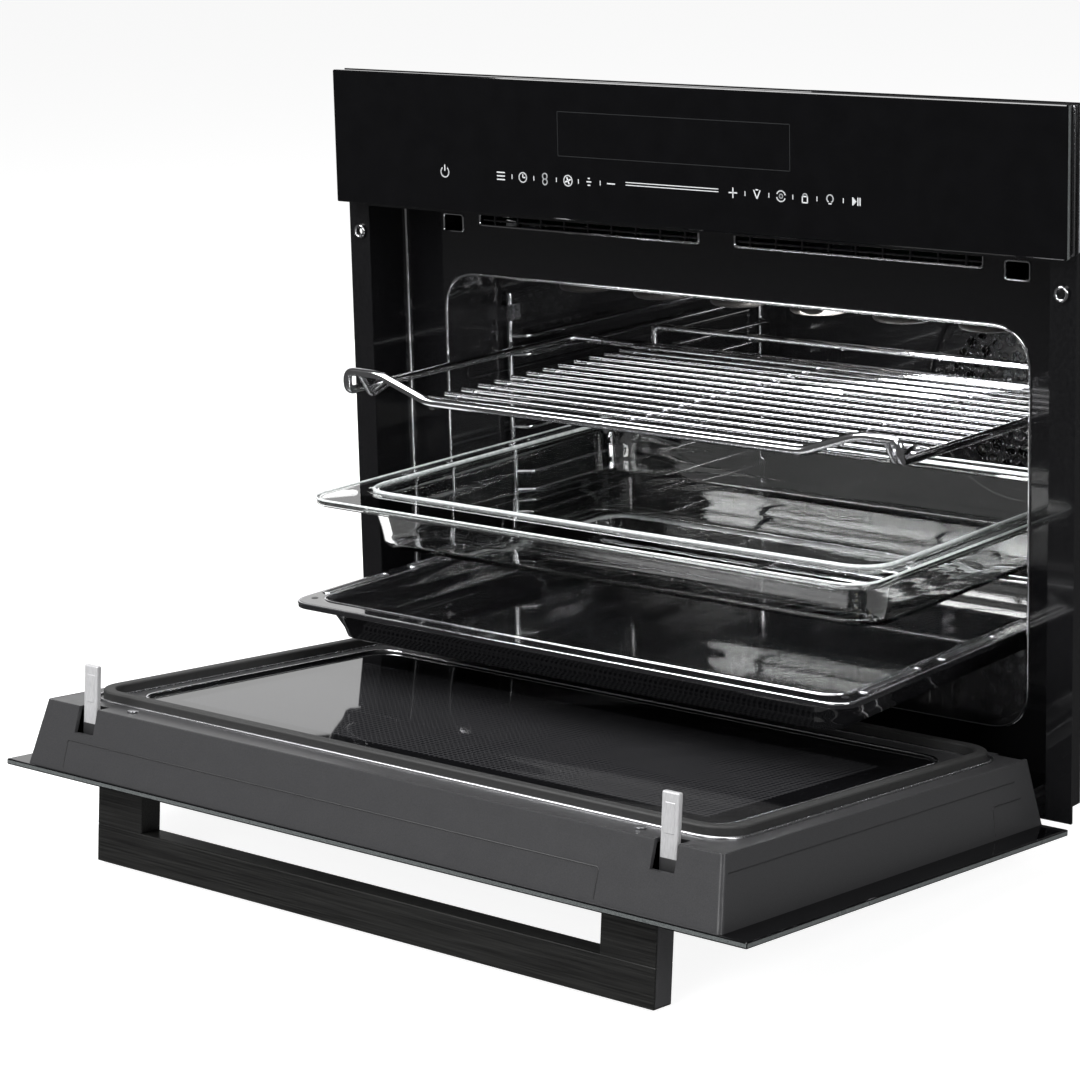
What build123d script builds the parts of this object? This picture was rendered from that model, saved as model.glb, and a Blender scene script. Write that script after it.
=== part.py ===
"""Compact built-in wall oven with microwave, drop-down door, wire shelf and two trays.

Frame: +Z up, +Y into the cabinet, +X to the right of a person facing the oven.  The origin is
the bottom centre of the front frame, in the plane that butts against the cabinet front.
The door is modelled open, lying a few degrees above level, with shelf and trays drawn out.
"""
from build123d import *
import os
from math import cos, pi, radians, sin

# ---------------------------------------------------------------- driving dimensions, mm
front_width = 595.0
front_height = 455.0
trim_thickness = 2.0
sheet = 1.5
body_width = 561.0
body_depth = 545.0
casing_front_height = 446.0
casing_rear_height = 386.0
casing_sheet = 1.0

recess_width = 558.0
recess_top = 357.0
recess_depth = 40.0

cavity_width = 486.0
cavity_bottom = 41.0
cavity_height = 266.0
cavity_depth = 410.0
cavity_corner = 30.0
liner_sheet = 1.5

vent_bottom = 343.0
vent_height = 11.0
vent_inner = 15.0
vent_outer = 208.0
slot_x = 233.0
slot_width = 17.0
slot_bottom = 337.0
slot_height = 12.0
fixing_x = 287.5
fixing_z = 338.0
fixing_radius = 2.6
fixing_boss_radius = 5.6
fixing_boss_height = 1.2

panel_bottom = 360.5
panel_stand = 13.0
panel_glass_thickness = 5.0
panel_edge_gap = 3.0
panel_wall = 4.0
display_x = -40.0
display_width = 150.0
display_height = 34.0
display_z = 421.0
touch_width = 420.0
touch_height = 26.0
touch_z = 391.0
board_thickness = 1.6

hinge_offset = 2.6
hinge_height = 4.0
open_angle = 84.6
door_glass_length = 353.0
door_glass_thickness = 4.0
glass_stand = 6.4
door_body_width = 558.0
door_body_top = 351.5
door_side_taper = 7.0
door_top_taper = 10.0
door_body_inner = 36.0
door_body_heel = 10.0
door_body_toe = -1.0
door_wall = 2.5
window_width = 472.0
window_bottom = 50.0
window_height = 245.0
window_corner = 20.0
window_gap = 0.4
inner_glass_sink = 1.0
inner_glass_thickness = 4.0
screen_sheet = 1.2
screen_margin = 14.0
middle_glass_width = 524.0
middle_glass_bottom = 24.0
middle_glass_length = 300.0
middle_glass_depth = 12.0
middle_glass_thickness = 4.0
spacer_width = 10.0
seal_width = 516.0
seal_bottom = 20.0
seal_height = 298.0
seal_band = 8.0
seal_corner = 24.0
seal_gap = 0.3

hinge_x = 259.5
hinge_arm_width = 4.2
hinge_cheek = 3.0
hinge_side_gap = 0.4
hinge_radius = 3.3
hinge_pin_radius = 1.8
running_gap = 0.05
hinge_arm_length = 120.0
hinge_pocket_width = 19.0
hinge_pocket_height = 14.0
receiver_height = 8.0
receiver_floor = 2.0

hook_u = 338.0
hook_w = -10.0
hook_width = 12.0
hook_thickness = 4.0
hook_reach = 64.0
hook_boss = 5.0
hook_notch_width = 17.0
hook_notch_bottom = 331.0
hook_notch_depth = 17.0
hook_cheek = 2.0
hook_side_gap = 0.4
hook_pin_radius = 2.0

handle_width = 452.0
handle_leg = 40.0
handle_thickness = 17.0
handle_stand = 54.0
handle_bar = 25.0
handle_top = 338.0
handle_screw_radius = 2.0
handle_screw_depth = 14.0
handle_screw_head = 4.5
handle_screw_head_height = 3.0

level_first = 69.5
level_pitch = 34.5
level_count = 6
rail_radius = 1.8
rail_x = 226.0
rail_drop = 6.1
rail_guard = 8.0
rack_x = 237.5
rack_front = 104.0
rack_rear_gap = 21.5
rack_bottom = 60.0
rack_top = 282.0
rack_bend = 8.0
rack_post_radius = 2.2

rim_width = 458.0
tray_depth = 345.0
baking_out = 153.0
baking_level = 1
baking_rim = 14.0
baking_sheet = 1.5
baking_tray_height = 28.0
baking_slope = 13.0
baking_lip = 4.0
glass_out = 133.0
glass_level = 3
glass_rim_side = 17.0
glass_rim_front = 40.0
glass_wall = 4.0
glass_height = 40.0
glass_slope = 8.0
shelf_out = 90.0
shelf_depth = 258.0
shelf_level = 5
shelf_wire = 3.0
shelf_sink = 1.0
grid_wire = 1.8
grid_count = 14
grid_left = 160.0
grid_right = 222.0
grid_front_gap = 13.0
grid_rear_gap = 10.0
grid_bars = (-150.0, 0.0, 150.0)
shelf_rise = 14.0
shelf_shoulder = 196.0
shelf_dip = 154.0
shelf_drop = 0.5
guard_rise = 15.0
guard_left = 148.0
guard_right = 218.0
stop_x = 215.0
stop_length = 34.0

fan_z = 173.0
cover_radius = 76.0
cover_height = 12.0
cover_sheet = 1.2
cover_hole = 4.6
cover_rings = (18.0, 31.0, 44.0, 57.0)
chamber_radius = 95.0
chamber_depth = 38.0
chamber_mouth = 72.0
fan_radius = 55.0
fan_depth = 24.0
fan_blades = 12
fan_shaft = 4.0
fan_motor_radius = 34.0
fan_motor_length = 44.0
ring_heater_radius = 76.0
heater_tube = 3.5
grill_half = 186.0
grill_front = 95.0
grill_rear_gap = 49.5
grill_runs = 6
grill_drop = 14.0

insulation_side = 272.0
insulation_bottom = 10.0
insulation_top = 330.0
insulation_rear = 492.0
deck_top = 332.0

stirrer_y = 245.0
stirrer_hole = 60.0
stirrer_radius = 50.0
stirrer_cover_radius = 66.0
stirrer_cover_thickness = 2.0
stirrer_shaft = 3.0
guide_width = 60.0
guide_height = 30.0
guide_left = -40.0
guide_right = 210.0
magnetron_x = 170.0
magnetron_width = 80.0
magnetron_height = 46.0

blower_x = -170.0
blower_y = 390.0
blower_width = 120.0
blower_height = 56.0
impeller_radius = 42.0
impeller_height = 34.0
impeller_blades = 20
blower_inlet = 30.0

lamp_x = -150.0
lamp_y = 372.0
lamp_hole = 24.0
lens_radius = 28.0
lens_thickness = 4.0

# ---------------------------------------------------------------- places worked out from them
front_y = -trim_thickness
flange_y = front_y + recess_depth
inner_y = flange_y + sheet
cavity_top = cavity_bottom + cavity_height
cavity_middle = cavity_bottom + cavity_height / 2
cavity_rear = inner_y + cavity_depth
rack_rear = cavity_rear - rack_rear_gap
grill_rear = cavity_rear - grill_rear_gap
hinge_y = front_y - hinge_offset
hinge_z = hinge_height
opening = radians(open_angle)
door_up = Vector(0, -sin(opening), cos(opening))
door_out = Vector(0, -cos(opening), -sin(opening))
door_origin = Vector(0, hinge_y, hinge_z)
door_plane = Plane(origin=door_origin, x_dir=(1, 0, 0), z_dir=door_out)
door_side = Plane(origin=door_origin, x_dir=door_up, z_dir=(1, 0, 0))
side_view = Plane(origin=(0, 0, 0), x_dir=(0, 1, 0), z_dir=(1, 0, 0))
casing_slope = (casing_front_height - casing_rear_height) / body_depth


def front_plane(y):
    """Plane facing the viewer at depth y: local x is X, local y is Z, extrude(-t) goes back."""
    return Plane(origin=(0, y, 0), x_dir=(1, 0, 0), z_dir=(0, -1, 0))


def level(number):
    """Height of the rim of whatever is slid in at a shelf level, counted from the lowest."""
    return level_first + level_pitch * number


def casing_height(y):
    """Height of the sloping casing top at depth y."""
    return casing_front_height - casing_slope * y


def door_point(u, w):
    """Point on the door's middle line, u up the door from the hinge and w outwards."""
    return door_origin + door_up * u + door_out * w


def finish(part, name):
    """Name one finished piece and write it."""
    part.label = name
    export_step(part, f"parts/{name}.step")


os.makedirs("parts", exist_ok=True)

# ================================================================ front frame
with BuildPart() as front_frame:
    with BuildSketch(front_plane(0)):
        with Locations((0, front_height / 2)):
            Rectangle(front_width, front_height)
        with Locations((0, (sheet + recess_top) / 2)):
            Rectangle(recess_width, recess_top - sheet, mode=Mode.SUBTRACT)
        with Locations((0, (recess_top + casing_front_height) / 2 + sheet)):
            Rectangle(body_width - 40, casing_front_height - recess_top - 24, mode=Mode.SUBTRACT)
    extrude(amount=trim_thickness)
    with BuildSketch(front_plane(inner_y)):
        with Locations((0, (recess_top + sheet) / 2)):
            Rectangle(recess_width + 2 * sheet, recess_top + sheet)
        with Locations((0, (sheet + recess_top) / 2)):
            Rectangle(recess_width, recess_top - sheet, mode=Mode.SUBTRACT)
    extrude(amount=inner_y)
    with BuildSketch(front_plane(inner_y)):
        with Locations((0, (recess_top + sheet) / 2)):
            Rectangle(recess_width + 2 * sheet, recess_top + sheet)
        with Locations((0, cavity_middle)):
            RectangleRounded(cavity_width, cavity_height, cavity_corner, mode=Mode.SUBTRACT)
        with Locations((slot_x, slot_bottom + slot_height / 2), (-slot_x, slot_bottom + slot_height / 2)):
            Rectangle(slot_width, slot_height, mode=Mode.SUBTRACT)
        vent_middle = (vent_inner + vent_outer) / 2
        vent_z = vent_bottom + vent_height / 2
        with Locations((vent_middle, vent_z), (-vent_middle, vent_z)):
            Rectangle(vent_outer - vent_inner, vent_height, mode=Mode.SUBTRACT)
    extrude(amount=sheet)
    with BuildSketch(front_plane(front_y)):
        with Locations((fixing_x, fixing_z), (-fixing_x, fixing_z)):
            Circle(fixing_boss_radius)
    extrude(amount=fixing_boss_height)
    with BuildSketch(front_plane(0)):
        with Locations((fixing_x, fixing_z), (-fixing_x, fixing_z)):
            Circle(fixing_radius)
    extrude(amount=trim_thickness + fixing_boss_height, mode=Mode.SUBTRACT)
finish(front_frame.part, "front_frame")

# ================================================================ casing
with BuildPart() as base_plate:
    with BuildSketch(Plane.XY):
        with Locations((0, (inner_y + body_depth) / 2)):
            Rectangle(body_width, body_depth - inner_y)
        with GridLocations(420, 360, 2, 2):
            with Locations((0, (inner_y + body_depth) / 2)):
                SlotOverall(46, 6, mode=Mode.SUBTRACT)
    extrude(amount=sheet)
finish(base_plate.part, "base_plate")


def side_panel(name, side):
    """One casing side, with the sloping top edge."""
    outer = side * body_width / 2
    with BuildPart() as panel:
        with BuildSketch(side_view.offset(outer)):
            with BuildLine():
                Polyline(
                    (inner_y, sheet),
                    (body_depth, sheet),
                    (body_depth, casing_height(body_depth) - casing_sheet),
                    (inner_y, casing_height(inner_y) - casing_sheet),
                    close=True,
                )
            make_face()
            with Locations(((inner_y + body_depth) / 2, deck_top + 26)):
                with GridLocations(34, 0, 9, 1):
                    SlotOverall(22, 4, rotation=90, mode=Mode.SUBTRACT)
        extrude(amount=-side * casing_sheet)
    finish(panel.part, name)


side_panel("side_panel_left", -1)
side_panel("side_panel_right", 1)

rear_y = body_depth - casing_sheet
with BuildPart() as rear_panel:
    with BuildSketch(front_plane(body_depth)):
        rear_height = casing_height(body_depth) - casing_sheet - sheet
        with Locations((0, sheet + rear_height / 2)):
            Rectangle(body_width - 2 * casing_sheet, rear_height)
        with Locations((blower_x, deck_top + 22)):
            with GridLocations(14, 0, 9, 1):
                SlotOverall(26, 5, rotation=90, mode=Mode.SUBTRACT)
    extrude(amount=casing_sheet)
finish(rear_panel.part, "rear_panel")

with BuildPart() as top_cover:
    with BuildSketch(side_view.offset(-body_width / 2)):
        with BuildLine():
            Polyline(
                (0, casing_height(0) - casing_sheet),
                (body_depth, casing_height(body_depth) - casing_sheet),
                (body_depth, casing_height(body_depth)),
                (0, casing_height(0)),
                close=True,
            )
        make_face()
    extrude(amount=body_width)
finish(top_cover.part, "top_cover")

with BuildPart() as control_box:
    with BuildSketch(front_plane(inner_y)):
        box_height = casing_height(inner_y) - casing_sheet - recess_top - sheet
        with Locations((0, recess_top + sheet + box_height / 2)):
            Rectangle(body_width, box_height)
            Rectangle(body_width - 2 * sheet, box_height, mode=Mode.SUBTRACT)
    extrude(amount=inner_y)
finish(control_box.part, "control_box_sides")

# ================================================================ cavity
with BuildPart() as cavity_liner:
    liner_width = cavity_width + 2 * liner_sheet
    liner_height = cavity_height + 2 * liner_sheet
    with BuildSketch(front_plane(cavity_rear + liner_sheet)):
        with Locations((0, cavity_middle)):
            RectangleRounded(liner_width, liner_height, cavity_corner + liner_sheet)
    extrude(amount=cavity_depth + liner_sheet)
    with BuildSketch(front_plane(cavity_rear)):
        with Locations((0, cavity_middle)):
            RectangleRounded(cavity_width, cavity_height, cavity_corner)
    extrude(amount=cavity_depth, mode=Mode.SUBTRACT)
    with BuildSketch(front_plane(cavity_rear + liner_sheet)):
        with Locations((0, fan_z)):
            Circle(chamber_mouth)
        for element_x in (-grill_half + 20, -grill_half + 50):
            with Locations((element_x, cavity_top - grill_drop)):
                Circle(heater_tube + 0.6)
    extrude(amount=liner_sheet, mode=Mode.SUBTRACT)
    with BuildSketch(Plane.XY.offset(cavity_top)):
        with Locations((0, stirrer_y)):
            Circle(stirrer_hole)
        with Locations((lamp_x, lamp_y)):
            Circle(lamp_hole)
    extrude(amount=liner_sheet, mode=Mode.SUBTRACT)
finish(cavity_liner.part, "cavity_liner")

chamber_y = cavity_rear + liner_sheet
with BuildPart() as fan_chamber:
    with BuildSketch(front_plane(chamber_y + chamber_depth)):
        with Locations((0, fan_z)):
            Circle(chamber_radius)
    extrude(amount=chamber_depth)
    with BuildSketch(front_plane(chamber_y + chamber_depth - liner_sheet)):
        with Locations((0, fan_z)):
            Circle(chamber_radius - liner_sheet)
    extrude(amount=chamber_depth - liner_sheet, mode=Mode.SUBTRACT)
    with BuildSketch(front_plane(chamber_y + chamber_depth)):
        with Locations((0, fan_z)):
            Circle(fan_shaft + 1)
    extrude(amount=liner_sheet, mode=Mode.SUBTRACT)
finish(fan_chamber.part, "fan_chamber")

with BuildPart() as fan_cover:
    with BuildSketch(front_plane(cavity_rear)):
        with Locations((0, fan_z)):
            Circle(cover_radius)
    extrude(amount=cover_height, taper=12)
    with BuildSketch(front_plane(cavity_rear)):
        with Locations((0, fan_z)):
            Circle(cover_radius - cover_sheet)
    extrude(amount=cover_height - cover_sheet, taper=12, mode=Mode.SUBTRACT)
    with BuildSketch(front_plane(cavity_rear)):
        with Locations((0, fan_z)):
            Circle(cover_hole)
            for ring in cover_rings:
                with PolarLocations(ring, round(2 * pi * ring / (cover_hole * 2.7))):
                    Circle(cover_hole)
    extrude(amount=cover_height, mode=Mode.SUBTRACT)
finish(fan_cover.part, "fan_cover")

with BuildPart() as hot_air_fan:
    fan_front = chamber_y + 5
    with BuildSketch(front_plane(fan_front + fan_depth)):
        with Locations((0, fan_z)):
            Circle(fan_radius)
    extrude(amount=1.5)
    with BuildSketch(front_plane(fan_front + fan_depth)):
        with Locations((0, fan_z)):
            with PolarLocations(fan_radius * 0.72, fan_blades):
                Rectangle(fan_radius * 0.5, 1.6, rotation=24)
    extrude(amount=fan_depth)
    with BuildSketch(front_plane(chamber_y + chamber_depth + 8)):
        with Locations((0, fan_z)):
            Circle(fan_shaft)
    extrude(amount=chamber_depth + 8 - 5)
    with BuildSketch(front_plane(fan_front + fan_depth)):
        with Locations((0, fan_z)):
            Circle(fan_shaft * 2.5)
    extrude(amount=8)
finish(hot_air_fan.part, "hot_air_fan")

motor_y = chamber_y + chamber_depth + 2
with BuildPart() as fan_motor:
    with BuildSketch(front_plane(motor_y + fan_motor_length)):
        with Locations((0, fan_z)):
            RectangleRounded(fan_motor_radius * 2, fan_motor_radius * 2, 12)
    extrude(amount=fan_motor_length)
    with BuildSketch(front_plane(motor_y + 8)):
        with Locations((0, fan_z)):
            Circle(fan_shaft + 0.5)
    extrude(amount=8, mode=Mode.SUBTRACT)
    with BuildSketch(front_plane(motor_y)):
        with Locations((0, fan_z)):
            with PolarLocations(fan_motor_radius * 0.85, 3):
                Circle(3)
    extrude(amount=2)
finish(fan_motor.part, "fan_motor")

heater_y = chamber_y + chamber_depth / 2 + 4
with BuildPart() as ring_heater:
    with BuildSketch(Plane(origin=(ring_heater_radius, heater_y, fan_z), x_dir=(1, 0, 0), z_dir=(0, 0, 1))):
        Circle(heater_tube)
    revolve(axis=Axis((0, heater_y, fan_z), (0, 1, 0)))
finish(ring_heater.part, "ring_heater")

grill_z = cavity_top - grill_drop
grill_pitch = 2 * grill_half / (2 * grill_runs - 1)
grill_points = []
for run in range(grill_runs * 2):
    run_x = -grill_half + run * grill_pitch
    ends = (grill_rear, grill_front) if run % 2 == 0 else (grill_front, grill_rear)
    grill_points += [(run_x, ends[0], grill_z), (run_x, ends[1], grill_z)]
with BuildPart() as grill_element:
    with BuildLine():
        FilletPolyline(*grill_points, radius=grill_pitch * 0.45)
    with BuildSketch(Plane(origin=grill_points[0], z_dir=(0, -1, 0))):
        Circle(heater_tube)
    sweep()
finish(grill_element.part, "grill_element")

with BuildPart() as insulation:
    with BuildSketch(front_plane(insulation_rear)):
        with Locations((0, (insulation_bottom + insulation_top) / 2)):
            Rectangle(2 * insulation_side, insulation_top - insulation_bottom)
    extrude(amount=insulation_rear - inner_y - 2)
    with BuildSketch(front_plane(cavity_rear + liner_sheet)):
        with Locations((0, cavity_middle)):
            RectangleRounded(liner_width, liner_height, cavity_corner + liner_sheet)
    extrude(amount=cavity_depth + liner_sheet, mode=Mode.SUBTRACT)
    with BuildSketch(front_plane(insulation_rear)):
        with Locations((0, fan_z)):
            Circle(chamber_radius + 0.5)
        for element_x in (-grill_half + 20, -grill_half + 50):
            with Locations((element_x, grill_z)):
                Circle(heater_tube + 0.6)
    extrude(amount=insulation_rear - cavity_rear - liner_sheet, mode=Mode.SUBTRACT)
    with BuildSketch(Plane.XY.offset(cavity_top)):
        with Locations((0, stirrer_y)):
            Circle(stirrer_hole)
        with Locations((lamp_x, lamp_y)):
            Circle(lamp_hole)
    extrude(amount=insulation_top - cavity_top, mode=Mode.SUBTRACT)
finish(insulation.part, "insulation")

with BuildPart() as service_deck:
    with BuildSketch(Plane.XY.offset(insulation_top)):
        with Locations((0, (inner_y + rear_y) / 2)):
            Rectangle(body_width - 2 * casing_sheet, rear_y - inner_y)
        with Locations((0, stirrer_y)):
            Circle(stirrer_hole, mode=Mode.SUBTRACT)
        with Locations((lamp_x, lamp_y)):
            Circle(lamp_hole, mode=Mode.SUBTRACT)
    extrude(amount=deck_top - insulation_top)
finish(service_deck.part, "service_deck")

# ================================================================ shelf racks
def side_rack(name, side):
    """Chromed ladder of wire on one cavity wall: two posts and a pair of rails per level."""
    with BuildPart() as rack:
        for post_y in (rack_front, rack_rear):
            with BuildSketch(Plane.XY.offset(rack_bottom)):
                with Locations((side * rack_x, post_y)):
                    Circle(rack_post_radius)
            extrude(amount=rack_top - rack_bottom)
        for number in range(level_count):
            for rail_z in (level(number) - rail_drop, level(number) + rail_guard):
                with BuildLine():
                    FilletPolyline(
                        (side * rack_x, rack_front, rail_z),
                        (side * rail_x, rack_front + rack_bend, rail_z),
                        (side * rail_x, rack_rear - rack_bend, rail_z),
                        (side * rack_x, rack_rear, rail_z),
                        radius=4,
                    )
                slant = Vector(side * (rail_x - rack_x), rack_bend, 0)
                with BuildSketch(Plane(origin=(side * rack_x, rack_front, rail_z), z_dir=slant)):
                    Circle(rail_radius)
                sweep()
    finish(rack.part, name)


side_rack("side_rack_left", -1)
side_rack("side_rack_right", 1)

wall_gap = cavity_width / 2 - rack_x
with BuildPart() as rack_clips:
    for clip_side in (-1, 1):
        for clip_y in (rack_front, rack_rear):
            for clip_z in (rack_bottom + 28, rack_top - 14):
                with BuildSketch(Plane.YZ.offset(clip_side * cavity_width / 2)):
                    with Locations((clip_y, clip_z)):
                        RectangleRounded(16, 12, 2)
                extrude(amount=-clip_side * (wall_gap + rack_post_radius + 1.5))
                with BuildSketch(Plane.XY.offset(clip_z - 8)):
                    with Locations((clip_side * rack_x, clip_y)):
                        Circle(rack_post_radius + running_gap)
                extrude(amount=16, mode=Mode.SUBTRACT)
                with BuildSketch(Plane.XY.offset(clip_z - 8)):
                    with Locations((clip_side * (rack_x - 4), clip_y)):
                        Rectangle(8, 1.6)
                extrude(amount=16, mode=Mode.SUBTRACT)
finish(rack_clips.part, "rack_clips")

# ================================================================ microwave and air system
with BuildPart() as stirrer_cover:
    with BuildSketch(Plane.XY.offset(cavity_top - stirrer_cover_thickness)):
        with Locations((0, stirrer_y)):
            Circle(stirrer_cover_radius)
    extrude(amount=stirrer_cover_thickness)
finish(stirrer_cover.part, "stirrer_cover")

guide_bottom = deck_top
guide_top = deck_top + guide_height
with BuildPart() as mode_stirrer:
    with BuildSketch(Plane.XY.offset(cavity_top + 8)):
        with Locations((0, stirrer_y)):
            with PolarLocations(stirrer_radius * 0.5, 4):
                Rectangle(stirrer_radius, 16)
            Circle(9)
    extrude(amount=1.5)
    with BuildSketch(Plane.XY.offset(cavity_top + 8)):
        with Locations((0, stirrer_y)):
            Circle(stirrer_shaft)
    extrude(amount=guide_top + 6 - cavity_top - 8)
finish(mode_stirrer.part, "mode_stirrer")

with BuildPart() as waveguide:
    guide_centre = (guide_left + guide_right) / 2
    guide_length = guide_right - guide_left
    with BuildSketch(Plane.XY.offset(guide_bottom)):
        with Locations((guide_centre, stirrer_y)):
            Rectangle(guide_length, guide_width)
    extrude(amount=guide_height)
    with BuildSketch(Plane.XY.offset(guide_bottom + sheet)):
        with Locations((guide_centre, stirrer_y)):
            Rectangle(guide_length - 2 * sheet, guide_width - 2 * sheet)
    extrude(amount=guide_height - 2 * sheet, mode=Mode.SUBTRACT)
    with BuildSketch(Plane.XY.offset(guide_bottom)):
        with Locations((0, stirrer_y)):
            Circle(guide_width / 2 - 6)
    extrude(amount=sheet, mode=Mode.SUBTRACT)
    with BuildSketch(Plane.XY.offset(guide_top - sheet)):
        with Locations((0, stirrer_y)):
            Circle(stirrer_shaft + 1.5)
        with Locations((magnetron_x, stirrer_y)):
            Circle(12)
    extrude(amount=sheet, mode=Mode.SUBTRACT)
finish(waveguide.part, "waveguide")

with BuildPart() as stirrer_motor:
    with BuildSketch(Plane.XY.offset(guide_top)):
        with Locations((0, stirrer_y)):
            Circle(24)
    extrude(amount=18)
    with BuildSketch(Plane.XY.offset(guide_top)):
        with Locations((0, stirrer_y)):
            Circle(stirrer_shaft + 1)
    extrude(amount=8, mode=Mode.SUBTRACT)
finish(stirrer_motor.part, "stirrer_motor")

with BuildPart() as magnetron:
    with BuildSketch(Plane.XY.offset(guide_top)):
        with Locations((magnetron_x, stirrer_y)):
            Rectangle(magnetron_width, magnetron_width)
    extrude(amount=2)
    with BuildSketch(Plane.XY.offset(guide_top)):
        with Locations((magnetron_x, stirrer_y)):
            Circle(20)
    extrude(amount=magnetron_height - 2)
    for fin in range(6):
        with BuildSketch(Plane.XY.offset(guide_top + 8 + 6 * fin)):
            with Locations((magnetron_x, stirrer_y)):
                Rectangle(magnetron_width - 8, magnetron_width - 8)
        extrude(amount=1)
    with BuildSketch(Plane.XY.offset(guide_top)):
        with Locations((magnetron_x, stirrer_y)):
            with GridLocations(magnetron_width - 3, 0, 2, 1):
                Rectangle(1.5, magnetron_width - 8)
    extrude(amount=magnetron_height)
    with BuildSketch(Plane.XY.offset(guide_top - 16)):
        with Locations((magnetron_x, stirrer_y)):
            Circle(8)
    extrude(amount=16)
finish(magnetron.part, "magnetron")

with BuildPart() as inverter_board:
    with BuildSketch(Plane.XY.offset(deck_top + 8)):
        with Locations((165, 137)):
            Rectangle(170, 110)
    extrude(amount=board_thickness)
    with BuildSketch(Plane.XY.offset(deck_top)):
        with Locations((165, 137)):
            with GridLocations(150, 90, 2, 2):
                Circle(3)
    extrude(amount=8)
    with BuildSketch(Plane.XY.offset(deck_top + 8 + board_thickness)):
        with Locations((125, 122)):
            Rectangle(44, 44)
        with Locations((205, 137)):
            with GridLocations(6, 0, 8, 1):
                Rectangle(1.6, 84)
        with Locations((205, 137)):
            Rectangle(46, 6)
    extrude(amount=38)
    with BuildSketch(Plane.XY.offset(deck_top + 8 + board_thickness)):
        with Locations((100, 170), (122, 170)):
            Circle(9)
    extrude(amount=30)
finish(inverter_board.part, "inverter_board")

with BuildPart() as control_board:
    with BuildSketch(Plane.XY.offset(deck_top + 8)):
        with Locations((-150, 150)):
            Rectangle(190, 130)
    extrude(amount=board_thickness)
    with BuildSketch(Plane.XY.offset(deck_top)):
        with Locations((-150, 150)):
            with GridLocations(170, 110, 2, 2):
                Circle(3)
    extrude(amount=8)
    with BuildSketch(Plane.XY.offset(deck_top + 8 + board_thickness)):
        with Locations((-150, 188)):
            with GridLocations(22, 0, 6, 1):
                Rectangle(15, 19)
        with Locations((-210, 110)):
            Rectangle(32, 28)
    extrude(amount=16)
finish(control_board.part, "control_board")

with BuildPart() as blower_housing:
    with BuildSketch(Plane.XY.offset(deck_top)):
        with Locations((blower_x, blower_y)):
            RectangleRounded(blower_width, blower_width, 24)
    extrude(amount=blower_height)
    with BuildSketch(Plane.XY.offset(deck_top + sheet)):
        with Locations((blower_x, blower_y)):
            RectangleRounded(blower_width - 2 * sheet, blower_width - 2 * sheet, 24 - sheet)
    extrude(amount=blower_height - 2 * sheet, mode=Mode.SUBTRACT)
    with BuildSketch(Plane.XY.offset(deck_top + blower_height - sheet)):
        with Locations((blower_x, blower_y)):
            Circle(blower_inlet)
    extrude(amount=sheet, mode=Mode.SUBTRACT)
    with BuildSketch(front_plane(blower_y)):
        with Locations((blower_x, deck_top + blower_height / 2)):
            Rectangle(blower_width * 0.55, blower_height - 4 * sheet)
    extrude(amount=blower_width / 2, mode=Mode.SUBTRACT)
finish(blower_housing.part, "blower_housing")

blower_motor_height = 12.0
with BuildPart() as blower_motor:
    with BuildSketch(Plane.XY.offset(deck_top + sheet)):
        with Locations((blower_x, blower_y)):
            Circle(24)
    extrude(amount=blower_motor_height)
    with BuildSketch(Plane.XY.offset(deck_top + sheet + blower_motor_height)):
        with Locations((blower_x, blower_y)):
            Circle(3)
    extrude(amount=16)
finish(blower_motor.part, "blower_motor")

impeller_z = deck_top + sheet + blower_motor_height + 2
with BuildPart() as blower_impeller:
    with BuildSketch(Plane.XY.offset(impeller_z)):
        with Locations((blower_x, blower_y)):
            Circle(impeller_radius)
    extrude(amount=1.5)
    with BuildSketch(Plane.XY.offset(impeller_z)):
        with Locations((blower_x, blower_y)):
            with PolarLocations(impeller_radius - 7, impeller_blades):
                Rectangle(12, 1.2, rotation=35)
            Circle(7)
    extrude(amount=impeller_height)
    with BuildSketch(Plane.XY.offset(impeller_z)):
        with Locations((blower_x, blower_y)):
            Circle(3 + running_gap)
    extrude(amount=16, mode=Mode.SUBTRACT)
finish(blower_impeller.part, "blower_impeller")

with BuildPart() as lamp_lens:
    with BuildSketch(Plane.XY.offset(cavity_top - lens_thickness)):
        with Locations((lamp_x, lamp_y)):
            Circle(lens_radius)
    extrude(amount=lens_thickness)
finish(lamp_lens.part, "lamp_lens")

with BuildPart() as lamp_holder:
    with BuildSketch(Plane.XY.offset(cavity_top + liner_sheet)):
        with Locations((lamp_x, lamp_y)):
            Circle(lamp_hole - 0.5)
            Circle(lamp_hole - 3, mode=Mode.SUBTRACT)
    extrude(amount=22)
    with BuildSketch(Plane.XY.offset(cavity_top + liner_sheet + 20)):
        with Locations((lamp_x, lamp_y)):
            Circle(lamp_hole - 0.5)
    extrude(amount=2)
    with BuildSketch(Plane.XY.offset(cavity_top + liner_sheet + 4)):
        with Locations((lamp_x, lamp_y)):
            Circle(7)
    extrude(amount=18)
finish(lamp_holder.part, "lamp_holder")

with BuildPart() as temperature_probe:
    with BuildSketch(front_plane(cavity_rear)):
        with Locations((180, 262)):
            Circle(2)
    extrude(amount=58)
    with BuildSketch(front_plane(cavity_rear)):
        with Locations((180, 262)):
            Rectangle(22, 12)
    extrude(amount=1.5)
finish(temperature_probe.part, "temperature_probe")

with BuildPart() as terminal_block:
    with BuildSketch(front_plane(rear_y)):
        with Locations((205, 352)):
            Rectangle(64, 24)
    extrude(amount=26)
    with BuildSketch(Plane.XY.offset(356)):
        with Locations((205, rear_y - 13)):
            with GridLocations(18, 0, 3, 1):
                Circle(4)
    extrude(amount=8, mode=Mode.SUBTRACT)
finish(terminal_block.part, "terminal_block")

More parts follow.
